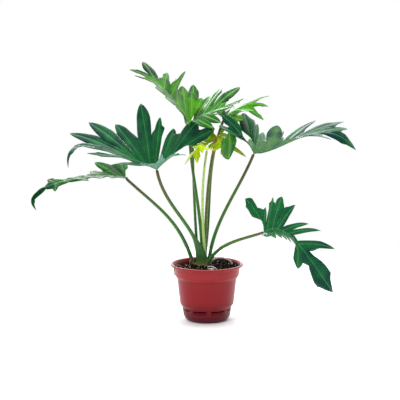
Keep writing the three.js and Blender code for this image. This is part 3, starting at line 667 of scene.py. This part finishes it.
# %% Leaf colour
def leaf_colour(tree, place, close, ripple, hub_mm, deep, bright, vein):
    # Lighter patches are about 26 mm across.
    patch = add(tree, "TexNoise", {"Scale": 38, "Detail": 4}, {"Vector": place})
    patchy = add(tree, "MapRange", {"From Min": 0.35, "From Max": 0.65, "To Max": 0.75}, {"Value": patch})
    # Painted light and shade: brighter near the hub, deeper far from it.
    hub = add(tree, "VectorMath", {1: Vector(hub_mm) * MM}, {0: place}, operation="DISTANCE")
    hub_painted_light = add(tree, "MapRange", {"From Max": HUB_LIGHT_REACH * MM, "To Min": 0.45, "To Max": -0.3},
                   {"Value": hub.outputs["Value"]})
    near_vein = add(tree, "MapRange", {"From Max": VEIN_REACH * MM, "To Min": 0.3, "To Max": -0.15},
                    {"Value": close})
    hub_light_and_vein_nearness = add(tree, "Math", links={0: hub_painted_light, 1: near_vein}, operation="ADD")
    lightness = add(tree, "Math", links={0: patchy, 1: hub_light_and_vein_nearness}, operation="ADD", use_clamp=True)
    green = add(tree, "Mix", {6: linear(deep), 7: linear(bright)}, {0: lightness}, data_type="RGBA")
    side_vein = add(tree, "MapRange", {"From Min": 0.8, "From Max": 1.0, "To Max": 0.1}, {"Value": ripple})
    veined = add(tree, "Mix", {7: linear(vein)}, {0: side_vein, 6: green.outputs[2]}, data_type="RGBA")
    main_vein = add(tree, "MapRange", {"From Min": MAIN_VEIN[0] * MM, "From Max": MAIN_VEIN[1] * MM,
                                       "To Min": 0.62, "To Max": 0.0},
                    {"Value": close}, interpolation_type="SMOOTHSTEP")
    colour = add(tree, "Mix", {7: linear(vein)}, {0: main_vein, 6: veined.outputs[2]}, data_type="RGBA")
    return colour.outputs[2]


print("the hub's brighter green fades out over", HUB_LIGHT_REACH, "mm")


# %% Waxy leaf
def waxy_leaf(name, hub_mm, greens, shine, rough=0.24, under=False):
    material, tree = new_material(name)
    place = add(tree, "TexCoord").outputs["Object"]
    close, ripple = vein_distance(tree)
    colour = leaf_colour(tree, place, close, ripple, hub_mm, *greens)
    # The skin's pores are drawn 2.4 mm wide, because real ones wouldn't show.
    fine = add(tree, "TexNoise", {"Scale": 420, "Detail": 4}, {"Vector": place})
    gloss = add(tree, "MapRange", {"To Min": rough - 0.02, "To Max": rough + 0.05}, {"Value": fine})
    crease = add(tree, "MapRange", {"From Max": CREASE_WIDTH * MM}, {"Value": close},
                 interpolation_type="SMOOTHSTEP")
    quilt = add(tree, "Math", {1: 0.004}, {0: ripple}, operation="MULTIPLY")
    level = add(tree, "Math", links={0: crease, 1: quilt}, operation="SUBTRACT")
    relief = add(tree, "Bump", {"Strength": 0.35, "Distance": 0.0009}, {"Height": level}, invert=under)
    pores = add(tree, "Bump", {"Strength": 0.01, "Distance": 0.0002}, {"Height": fine, "Normal": relief})
    wax = {"IOR": 1.45, "Specular IOR Level": shine, "Sheen Weight": shine, "Sheen Roughness": 0.25}
    shader = add(tree, "BsdfPrincipled", wax, {"Base Color": colour, "Roughness": gloss, "Normal": pores})
    add(tree, "OutputMaterial", links={"Surface": shader})
    return material


print("creases beside the veins are", CREASE_WIDTH, "mm wide")

# %% [markdown]
# ## The leaves as tables
# A blade is a comb of lobes along a spine. The spine runs from the end of a back rib through the hub,
# where the stem joins, to the tip of the midrib, once for each side of the leaf. Lobe tips are listed
# from the back end forwards. After a tip's x, y and z may come the lobe's width share, the sizes of its
# back and front teeth, and how deep the cut behind it ends. They are the CAD part's own numbers.

# %% Leaf tables
LEAVES = {
    "low_left": dict(
        rib=[(-155, -10, 277), (-228, -43, 284), (-309, -66, 265), (-320, -70, 225)],
        left=dict(back=(-153, -40, 283), arch=0,
            behind=[(-153, -66, 285), (-158, -85, 288)],
            ahead=[(-176, -95, 289), (-198, -94, 288), (-220, -88, 283, 0.8), (-282, -93, 264, 1.3)]),
        right=dict(back=(-157, 26, 287), arch=0.05,
            behind=[(-157, 52, 296, 1, 0, 0), (-167, 58, 297, 1.2, 0, 0, 0.7)],
            ahead=[(-216, 32, 301, 1.3, 0, 0, 0.75), (-224, 22, 285, 1), (-265, -6, 274),
                (-301, -29, 277, 1.5)]),
        fork=0.62, wave=0.1, width=0.11, end_width=7, seed=1),
    "left": dict(
        rib=[(-95, -26, 296), (-157, -28, 323), (-236, -22, 340), (-263, -19, 298)],
        left=dict(back=(-54, -48, 330), arch=0.04,
            behind=[(-39, -64, 328), (-58, -76, 332), (-84, -75, 331, 0.6)],
            ahead=[(-125, -81, 315), (-164, -89, 315), (-185, -79, 330), (-224, -63, 331),
                (-248, -44, 344)]),
        right=dict(back=(-38, -16, 341), arch=0.08,
            behind=[(12, -9, 368, 1.5, 0, 0), (-19, -6, 383, 1.5, 0, 0, 0.8),
                (-63, 7, 370, 1.1, 0, 0, 0.7)],
            ahead=[(-89, 15, 391, 0.7, 0.8, 0, 0.05), (-127, 33, 415, 1, 0, 0, 0.5),
                (-176, 30, 375, 1.15, 0, 0.2, 0.45), (-227, 27, 379, 1.05, 0, 0, 0.08),
                (-263, 17, 359, 0.9, 0, 0, 0.2)]),
        fork=0.32, wave=0.1, width=0.1, end_width=9, seed=2),
    "top_left": dict(
        rib=[(-32, 6, 384), (-72, -2, 436), (-108, -6, 468), (-146, -8, 483)],
        left=dict(back=(-26, -18, 387), arch=0.02,
            behind=[(-19, -38, 389, 1, 0, 0), (-40, -52, 385, 1, 0, 0, 0.6)],
            ahead=[(-58, -62, 418, 1, 0, 0, 0.6), (-77, -66, 435, 1, 0.2, 0, 0.6),
                (-96, -66, 454, 1, 0, 0.3, 0.6), (-114, -57, 470, 1, 0, 0, 0.5), (-136, -34, 474)]),
        right=dict(back=(-21, 26, 399), arch=0.08,
            behind=[(-9, 56, 423, 1.4), (-29, 66, 434, 1.5, 0, 0, 0.6)],
            ahead=[(-46, 66, 445, 1.5, 0, 0, 0.6), (-60, 72, 459, 1.2, 0, 0, 0.5),
                (-41, 80, 473, 0.4, 0, 0), (-76, 57, 472), (-122, 30, 495, 2.2, 0, 0)]),
        fork=0.6, wave=0.1, width=0.1, end_width=7, seed=3),
    "top": dict(
        rib=[(-27, 34, 381), (2, 34, 397), (35, 30, 408), (70, 25, 425)],
        left=dict(back=(-17, 72, 400), arch=0.08,
            behind=[(-43, 107, 416, 1.1), (-27, 116, 444, 1.1)],
            ahead=[(8, 117, 421, 1.1), (30, 111, 438, 0.9, 0.3, 0.6), (65, 94, 441, 1.3, 0, 0, 0.15),
                (43, 74, 422)]),
        right=dict(back=(-21, 11, 382), arch=0.02,
            behind=[(-4, 1, 373, 1.2, 0, 0)],
            ahead=[(11, -22, 374, 1.2, 0, 0), (26, -23, 384, 1.1, 0, 0), (51, -14, 415), (63, 0, 421)]),
        fork=0.6, wave=0.1, width=0.1, end_width=6, seed=4),
    "upper_right": dict(
        rib=[(33, 44, 384), (60, 45, 405), (89, 45, 413), (118, 45, 408)],
        left=dict(back=(18, 73, 392), arch=0.08,
            behind=[(-3, 95, 380, 1.2), (24, 100, 401, 1.2)],
            ahead=[(51, 95, 402), (80, 87, 410), (121, 79, 425, 0.5)]),
        right=dict(back=(52, -4, 364), arch=-0.02,
            behind=[(41, -58, 319, 1.7, 0, 0)],
            ahead=[(68, -9, 388), (91, 2, 404), (108, 17, 385)]),
        fork=0.6, wave=0.1, width=0.12, end_width=4, seed=5),
    "young_front": dict(
        rib=[(0, -20, 332), (-9, -32, 343), (-19, -42, 339), (-18, -46, 310)],
        left=dict(back=(8, -34, 338), arch=0.06,
            behind=[(11, -48, 335, 1, 0, 0)],
            ahead=[(0, -58, 337, 1, 0, 0), (-8, -56, 331, 1, 0, 0)]),
        right=dict(back=(-4, -4, 338), arch=0.1,
            behind=[(2, 8, 344, 1, 0, 0), (-15, 8, 344, 1.2, 0, 0)],
            ahead=[(-28, -6, 336, 1.2, 0, 0), (-42, -26, 305, 0.7, 0, 0)]),
        fork=0.6, wave=0.1, width=0.18, end_width=8, seed=6),
    "young_back": dict(
        rib=[(19, 10, 353), (25, 2, 344), (31, -4, 334), (34, -10, 317)],
        left=dict(back=(27, 24, 357), arch=0.1,
            behind=[(33, 34, 366, 1, 0, 0), (40, 28, 355, 1, 0, 0)],
            ahead=[(40, 20, 346, 1, 0, 0), (75, 14, 314, 0.45, 0, 0), (38, 2, 323, 1, 0, 0)]),
        right=dict(back=(12, 26, 359), arch=0.1,
            behind=[(2, 48, 368, 1.2, 0, 0), (-7, 42, 357, 1, 0, 0)],
            ahead=[(-7, 28, 343, 1.2, 0, 0), (0, 12, 330, 1, 0, 0), (12, -6, 328, 1, 0, 0)]),
        fork=0.6, wave=0.1, width=0.18, end_width=7, seed=7),
    "right": dict(
        rib=[(90, 10, 322), (151, 13, 340), (218, 17, 361), (286, 25, 326)],
        left=dict(back=(87, 39, 346), arch=0.08,
            behind=[(72, 69, 393, 2.9, 0.4, 0.2), (99, 73, 371)],
            ahead=[(110, 79, 354), (149, 88, 357), (213, 96, 375, 0.8), (267, 84, 374, 0.8),
                (274, 67, 362, 0.9)]),
        right=dict(back=(68, -19, 357), arch=0.08,
            behind=[(28, -25, 399, 1.5, 0, 0), (22, -36, 379, 1.3, 0, 0, 0.55), (80, -51, 357, 0.6)],
            ahead=[(98, -44, 363, 0.7), (131, -49, 382, 1.7, 0, 0), (174, -49, 358, 0.8),
                (212, -39, 363, 0.8), (234, -22, 352)]),
        fork=0.6, wave=0.1, width=0.1, end_width=10, seed=8, end_roll=0.9),
    "low_right": dict(
        rib=[(108, -48, 179), (147, -60, 181), (188, -68, 139), (238, -69, 67)],
        left=dict(back=(106, -42, 200), arch=0.12,
            behind=[(72, -36, 241, 1.6, 0.2, 0.1), (111, -36, 225, 0.7, 0.3, 0, 0.7)],
            ahead=[(125, -31, 244, 0.4, 0.9, 0, 0.1), (142, -33, 245, 0.9, 0, 0, 0.72),
                (167, -40, 230, 0.8, 0, 0, 0.66), (192, -48, 195, 0.8, 0, 0, 0.15),
                (215, -55, 183, 0.6, 0, 0, 0.2), (164, -56, 179, 0.8, 0, 0, 0.1),
                (241, -61, 149, 0.85, 0, 0, 0.1)]),
        right=dict(back=(112, -75, 175), arch=0.04, end_cut=0.6,
            behind=[(112, -98, 179, 2, 0, 0)],
            ahead=[(128, -100, 177, 1, 0, 0), (139, -97, 177, 1, 0, 0), (149, -92, 172, 1, 0, 0),
                (157, -87, 167, 0.8, 0, 0), (166, -84, 161, 0.8, 0, 0), (170, -78, 151, 0.7, 0, 0),
                (170, -84, 115, 1.9, 0, 0, 0.12)]),
        fork=0.58, wave=0.1, width=0.12, end_width=18, seed=9, point=1),
}
print("leaves:", len(LEAVES))

# %% [markdown]
# ## Spines and lobes
# First the lines that carry a blade: the spine of each half, and one vein for each lobe, which starts
# half way between two stations of the spine and arches to its tip. A repeatable hash of a seed decides
# the small differences between lobes, so the plant is the same on every run.

# %% Spines and veins
WEB = 0.3  # share of a vein that runs inside the joined part of the blade
BACK_RIB_LIFT = 0.1  # of its length
CREST_AT = 0.55  # along a vein, where its arch is highest


def chance(seed):  # the last digits of a large sine, so 0 to 1 and the same on every run
    return math.sin(seed * 12.9898 + 4.1414) * 43758.5453 % 1


class Spine:
    def __init__(self, leaf, half):
        self.rib = through_four(leaf["rib"])
        hub, end = Vector(leaf["rib"][0]) * MM, Vector(half["back"]) * MM
        lift = UP * (end - hub).length * BACK_RIB_LIFT
        self.back = bezier(hub, hub.lerp(end, 0.5) + lift, end)

    def at(self, t):
        return self.back(-t) if t < 0 else self.rib(t)


def stations_of(leaf, half):
    behind, ahead = len(half["behind"]), len(half["ahead"])
    return [i / behind for i in range(-behind, 0)] + [leaf["fork"] * i / ahead for i in range(ahead + 1)]


def lobes_of(leaf, half, spine):
    stops = stations_of(leaf, half)
    lobes = []
    for k, (x, y, z, *more) in enumerate(half["behind"] + half["ahead"]):
        share, tooth_back, tooth_front, cut = (more + [1, None, None, WEB][len(more):])[:4]
        base, tip = spine.at((stops[k] + stops[k + 1]) / 2), Vector((x, y, z)) * MM
        reach = (tip - base).length
        crest = base.lerp(tip, CREST_AT) + UP * reach * half["arch"]
        lobes.append(dict(vein=bezier(base, crest, tip), reach=reach, cut=cut,
                          width=reach * leaf["width"] * share, teeth=(tooth_back, tooth_front)))
    return lobes


print("lobes:", sum(len(leaf[key][part]) for leaf in LEAVES.values() for key in ("left", "right")
                    for part in ("behind", "ahead")))

# %% [markdown]
# ## The margin of a lobe
# Neighbouring lobes are one sheet near the spine and part at a cut, so up to the cut their margins are
# the same line. Beyond it the margin swells to a shoulder and narrows to the tip, with a small side tooth
# here and there, a slight wave, and a smooth way out of the cut.


# %% Margins
SWELLING = 1.4  # of a lobe's width, from the cut to its shoulder
TOOTH_START, TOOTH_TOP, TOOTH_END = 0.56, 0.7, 0.8  # along the vein
TOOTH_OUT, TOOTH_FORWARD = 0.8, 0.7
WAVES = 9  # radians along a vein
CUT_EASE = 0.4  # of the free margin, over which it leaves the cut


def shoulder(x, point):
    return (1 + SWELLING * x) * (1 - x) ** point


def tooth_at(u):
    rise, fall = TOOTH_TOP - TOOTH_START, TOOTH_END - TOOTH_TOP
    return max(0, min((u - TOOTH_START) / rise, (TOOTH_END - u) / fall))


def margin_of(vein, corner, cut, spread, spec):
    web = cut["row"] if cut else WEB

    def across(u):
        along = heading(vein, u)
        return (spread - along * spread.dot(along)).normalized()

    shoulder_start = vein(web) + across(web) * spec["width"]
    away = (cut["point"] if cut else corner) - shoulder_start

    def at(u):
        if u <= web:
            return corner.lerp(cut["point"] if cut else shoulder_start, u / web)
        x = (u - web) / (1 - web)
        tooth = spec["tooth"] * tooth_at(u)
        wave = spec["wave"] * math.sin(spec["phase"] + WAVES * u) * spec["width"] * (1 - x)
        edge = vein(u) + across(u) * spec["width"] * (shoulder(x, spec["point"]) + TOOTH_OUT * tooth)
        edge += heading(vein, u) * spec["width"] * tooth * TOOTH_FORWARD + UP * wave
        return edge + away * (1 - smoothstep(x / CUT_EASE)) if cut else edge

    return at


print("half way along, a lobe has", round(shoulder(0.5, 1), 2), "of its width at the cut")

# %% [markdown]
# ## From margins to a sheet
# The area between a vein and a margin is a flat grid bent into place: its rows run from the vein out to
# the margin, and it bulges slightly, as a blade does between veins. Each grid's UV map keeps the distance
# along the vein and away from it. Rows are shared by all lobes of a leaf, so neighbouring grids weld
# exactly.

# %% Half lobes
ROWS = 16
COLUMNS = 5
ROW_GAP = 0.02  # even rows nearer than this to a row that a cut needs are left out
BULGE = 0.1  # of the distance from the vein to the margin
BULGE_START = 0.2


def rows_for(cuts):
    wanted = {round(c["row"], 4) for c in cuts}
    even = [i / ROWS for i in range(ROWS + 1)]
    return sorted(wanted | {u for u in even if all(abs(u - w) > ROW_GAP for w in wanted)})


def half_lobe(shape, rows, vein, margin, reach, flip):
    grid = bmesh.ops.create_grid(shape, x_segments=len(rows) - 1, y_segments=COLUMNS, size=0.5)["verts"]
    cell = {v: (rows[round((v.co.x + 0.5) * (len(rows) - 1))], v.co.y + 0.5) for v in grid}
    uv = shape.loops.layers.uv["veins"]
    faces = {f for v in grid for f in v.link_faces}
    for v, (u, side) in cell.items():
        middle, edge = vein(u), margin(u)
        v.co = middle.lerp(edge, side)
        rise = BULGE * math.sin(math.pi * side) * smoothstep(u / BULGE_START)
        v.co += UP * (edge - middle).length * rise
    for face in faces:
        for loop in face.loops:
            u, side = cell[loop.vert]
            away = (margin(u) - vein(u)).length * side
            loop[uv].uv = (reach * u, away)
    if flip:
        bmesh.ops.reverse_faces(shape, faces=list(faces))


print("a blade with one depth of cut has", len(rows_for([dict(row=WEB)])), "rows")

# %% [markdown]
# ## A whole blade
# A blade is all half lobes of both sides, and the tip of the midrib as one last lobe. Welding them gives
# one sheet, whose thickness is a Solidify modifier, with the dull underside as a second material.


# %% One half of a blade
BETWEEN_AT = 0.7  # along two neighbouring veins, where the way from one to the other is taken
NO_TOOTH = 0.45  # the hash has to pass this for a tooth
POINT = 0.8  # how sharply a lobe narrows, unless its leaf says otherwise


def cuts_of(half, spine, lobes, veins, stops):
    cuts = []
    for k in range(len(lobes)):
        share = lobes[k + 1]["cut"] if k + 1 < len(lobes) else half.get("end_cut", WEB)
        row = max(share, WEB)
        open_point = veins[k](row).lerp(veins[k + 1](row), 0.5)
        cuts.append(dict(row=row, point=spine.at(stops[k + 1]).lerp(open_point, share / row)))
    return cuts


def half_of(leaf, side, key):
    half = leaf[key]
    spine = Spine(leaf, half)
    lobes = lobes_of(leaf, half, spine)
    tip_vein = lambda u: spine.at(leaf["fork"] + (1 - leaf["fork"]) * u)
    veins = [lobe["vein"] for lobe in lobes] + [tip_vein]
    stops = stations_of(leaf, half)
    return side, spine, lobes, veins, stops, cuts_of(half, spine, lobes, veins, stops)


def margin_spec(leaf, lobe, side, k, end):
    tooth = lobe["teeth"][end]
    if tooth is None:
        tooth = max(0, chance(leaf["seed"] + 31 * side + 7 * k + end) - NO_TOOTH)
    phase = 6 * chance(leaf["seed"] + 17 * side + 3 * k + end)
    return dict(width=lobe["width"], wave=leaf["wave"], tooth=tooth, phase=phase,
                point=leaf.get("point", POINT))


print("cuts on one side of the top leaf:", len(half_of(LEAVES["top"], 1, "left")[5]))

# %% Blade
LOBE_RIB, BACK_RIB, MID_RIB = 0.55, 0.9, 1.1  # radius at the thick end, in millimetres
WELD = 0.02
TIP_TOOTH = 0.25


def tip_lobe(shape, leaf, rows, half, outward):
    side, spine, lobes, veins, stops, cuts = half
    spec = dict(width=leaf["end_width"] * MM, wave=leaf["wave"], tooth=TIP_TOOTH, phase=2 * side,
                point=leaf.get("point", POINT))
    margin = margin_of(veins[-1], spine.at(leaf["fork"]), cuts[-1], outward, spec)
    reach = (spine.at(1) - spine.at(leaf["fork"])).length
    half_lobe(shape, rows, veins[-1], margin, reach, side < 0)


def blade_sheet(leaf):
    shape = bmesh.new()
    shape.loops.layers.uv.new("veins")
    ribs = []
    halves = [half_of(leaf, side, key) for side, key in ((1, "left"), (-1, "right"))]
    rows = rows_for([cut for half in halves for cut in half[5]] + [dict(row=WEB)])
    for half in halves:
        side, spine, lobes, veins, stops, cuts = half
        between = [veins[k + 1](BETWEEN_AT) - veins[k](BETWEEN_AT) for k in range(len(lobes))]
        for k, lobe in enumerate(lobes):
            spread = between[k] + (between[k - 1] if k else Vector())
            specs = [margin_spec(leaf, lobe, side, k, end) for end in (0, 1)]
            back_cut = cuts[k - 1] if k else None
            back = margin_of(lobe["vein"], spine.at(stops[k]), back_cut, -spread, specs[0])
            front = margin_of(lobe["vein"], spine.at(stops[k + 1]), cuts[k], spread, specs[1])
            half_lobe(shape, rows, lobe["vein"], back, lobe["reach"], side < 0)
            half_lobe(shape, rows, lobe["vein"], front, lobe["reach"], side > 0)
            ribs.append((lobe["vein"], LOBE_RIB))
        outward = -between[-1].normalized() + UP * side * leaf.get("end_roll", 0)
        tip_lobe(shape, leaf, rows, half, outward)
        ribs.append((spine.back, BACK_RIB))
    ribs.append((spine.rib, MID_RIB))
    bmesh.ops.remove_doubles(shape, verts=shape.verts, dist=WELD * MM)
    return shape, ribs


print("ribs under a blade:", LOBE_RIB, BACK_RIB, "and", MID_RIB, "mm in radius")

# %% [markdown]
# ## The nine leaves
# The old leaves are deep green, the ones at the top are brighter, and the two young ones in the middle
# are yellow green. Each leaf has its own pair of skins, because its hub is the centre of its painted
# light.
# Level leaves have the most wax to catch the light. Thin ribs run under the veins, as on the real
# underside.

# %% Greens
GREENS = {  # deep, bright and vein colours of the upper side, then deep and bright ones below
    "low_left": ("#03381a", "#266e1a", "#5f9450", "#23603a", "#4d8450"),
    "left": ("#003a2c", "#0c6a30", "#4f985a", "#2c6650", "#6a9a86"),
    "top_left": ("#002c28", "#42860e", "#7fb25a", "#06443a", "#4d7c30"),
    "top": ("#02321a", "#2c7410", "#9ccc84", "#17502a", "#4d8438"),
    "upper_right": ("#10521e", "#458e14", "#6aa848", "#1f6a20", "#4f982c"),
    "young_front": ("#7fa60c", "#a8c010", "#c6d448", "#86ad2c", "#a6c448"),
    "young_back": ("#6a9a0e", "#98b412", "#b9cb40", "#86ad2c", "#a6c448"),
    "right": ("#003530", "#186a30", "#559462", "#0f4c44", "#5a8850"),
    "low_right": ("#003e30", "#146632", "#5f9f68", "#1d5a44", "#4d8450"),
}
SHINE = {"left": 0.75, "right": 0.4, "low_right": 0.5, "low_left": 0.04}
USUAL_SHINE = 0.1
print("leaf colours:", len(GREENS))

# %% Leaves and their ribs
LEAF_THICKNESS = 0.7
RIB_DROP = 0.5  # of a rib's centre below the sheet
RIB_TAPER = 0.75  # of its radius is lost by its tip

for name, leaf in LEAVES.items():
    deep, bright, vein, deep_below, bright_below = GREENS[name]
    hub = leaf["rib"][0]
    upper = waxy_leaf("waxy_leaf_" + name, hub, (deep, bright, vein), SHINE.get(name, USUAL_SHINE),
                      rough=0.4 if name == "low_left" else 0.24)
    lower = waxy_leaf("dull_underside_" + name, hub, (deep_below, bright_below, vein), 0.2, rough=0.55,
                      under=True)
    sheet, ribs = blade_sheet(leaf)
    blade = make_piece("leaf_" + name, sheet, [upper, lower],
                       ["blade_" + name])
    wall = blade.modifiers.new("thickness", "SOLIDIFY")
    wall.thickness = LEAF_THICKNESS * MM
    wall.offset = 0
    wall.material_offset = 1
    wall.material_offset_rim = 1
    shape = bmesh.new()
    for curve, radius in ribs:
        lowered = lambda t, c=curve: c(t) - UP * RIB_DROP * MM
        thin = lambda t, r=radius: (r * (1 - RIB_TAPER * t) * MM,) * 2
        tube(shape, lowered, thin, sides=8, steps=14)
    make_piece("ribs_" + name, shape, [lower])

# %% [markdown]
# ## Crown, roots and husk
# The stems grow from a short crown at the level of the mix. Pale roots arch over the mix, one chip of
# bark lies in front, a dry thread hangs over the rim, and a papery scale stands by the crown. All are
# small tubes, wide or flat, so the same ring is pushed along each of them.


# %% Dry plant parts
def dry_plant(name, dark, light, grain_mm):
    material, tree = new_material(name)
    place = add(tree, "TexCoord").outputs["Object"]
    long = add(tree, "Mapping", {"Scale": (1, 1, 0.25)}, {"Vector": place})
    grain = add(tree, "TexNoise", {"Scale": 1 / (grain_mm * MM), "Detail": 5}, {"Vector": long})
    shade = add(tree, "MapRange", {"From Min": 0.35, "From Max": 0.7}, {"Value": grain})
    colour = add(tree, "Mix", {6: linear(dark), 7: linear(light)}, {0: shade}, data_type="RGBA")
    relief = add(tree, "Bump", {"Strength": 0.7, "Distance": 0.0008}, {"Height": grain})
    shader = add(tree, "BsdfPrincipled", {"Roughness": 0.8, "IOR": 1.4},
                 {"Base Color": colour.outputs[2], "Normal": relief})
    add(tree, "OutputMaterial", links={"Surface": shader})
    return material


husk = dry_plant("papery_husk", "#5a4330", "#a58f6c", 1.5)
root_skin = dry_plant("dry_root_skin", "#b29c94", "#f2e8e3", 1.2)
crown_bark = dry_plant("fibrous_crown", "#3f3328", "#7d8a4c", 1.8)
print("dry materials:", husk.name, root_skin.name, crown_bark.name)

# %% Roots, chip, thread and scale
KNOBBLE = 0.3  # height of the bumps, in millimetres
KNOBBLE_WIDTH = 4

SMALL_PIECES = {
    "aerial_root": ([(5, 10, 104), (18, 10, 118), (38, 9, 116.5), (49, 8, 106)],
                    lambda t: (2.1 - 0.5 * t, 1.9 - 0.4 * t), root_skin, "root"),
    "second_root": ([(-2, -22, 101), (4, -32, 109.5), (13, -38, 109.5), (22, -41, 103)],
                    lambda t: (1.3 - 0.4 * t, 1.2 - 0.4 * t), root_skin, "root"),
    "bark_chip": ([(2, -50, 107.3), (5, -51, 108.6), (9, -52, 108.8), (13, -52, 107.6)],
                  lambda t: (2.2, 1.3), root_skin, "root"),
    "dry_root": ([(-46, -29, 102), (-56, -36, 113.5), (-62, -40, 107), (-61, -39.5, 94)],
                 lambda t: (1.6 - t, 1.4 - 0.8 * t), husk, "dry_husk"),
    "bud_scale": ([(-30, -3, 98), (-32, -5, 106), (-33, -6, 112), (-30, -8, 119)],
                  lambda t: (0.8, 4.2 - 3 * t), husk, "dry_husk"),
}
for name, (path, size, stuff, slot) in SMALL_PIECES.items():
    shape = bmesh.new()
    closing = lambda t, s=size: tuple(r * MM * math.sqrt(max(0.03, 1 - (2 * t - 1) ** 8)) for r in s(t))
    tube(shape, through_four(path), closing, sides=14, steps=36)
    for v in shape.verts:
        v.co += KNOBBLE * MM * noise.noise_vector(v.co / (KNOBBLE_WIDTH * MM))
    make_piece(name + "_piece", shape, [stuff], [name])

# %% Crown
CROWN_WIDTH, CROWN_NECK = 21, 7  # radius at the foot, and what it loses by the top
CROWN_DEPTH = 0.86  # of its width
FIBRE_HEIGHT = 0.8
FIBRE_SCALE = Vector((400, 400, 60))  # fibres 2.5 mm wide that run upwards

shape = bmesh.new()
x, y = CROWN_CENTRE


def crown_size(t):
    width = (CROWN_WIDTH - CROWN_NECK * t**2.5) * MM
    return width, width * CROWN_DEPTH


upwards = through_four([(x, y, 88), (x, y, 96), (x, y, 104), (x, y, 111)])
tube(shape, upwards, crown_size, sides=72, steps=24)
for v in shape.verts:
    ridge = noise.noise(v.co * FIBRE_SCALE)
    v.co.xy += (v.co.xy - Vector((x, y)) * MM).normalized() * FIBRE_HEIGHT * MM * ridge
make_piece("crown_piece", shape, [crown_bark], ["crown"])
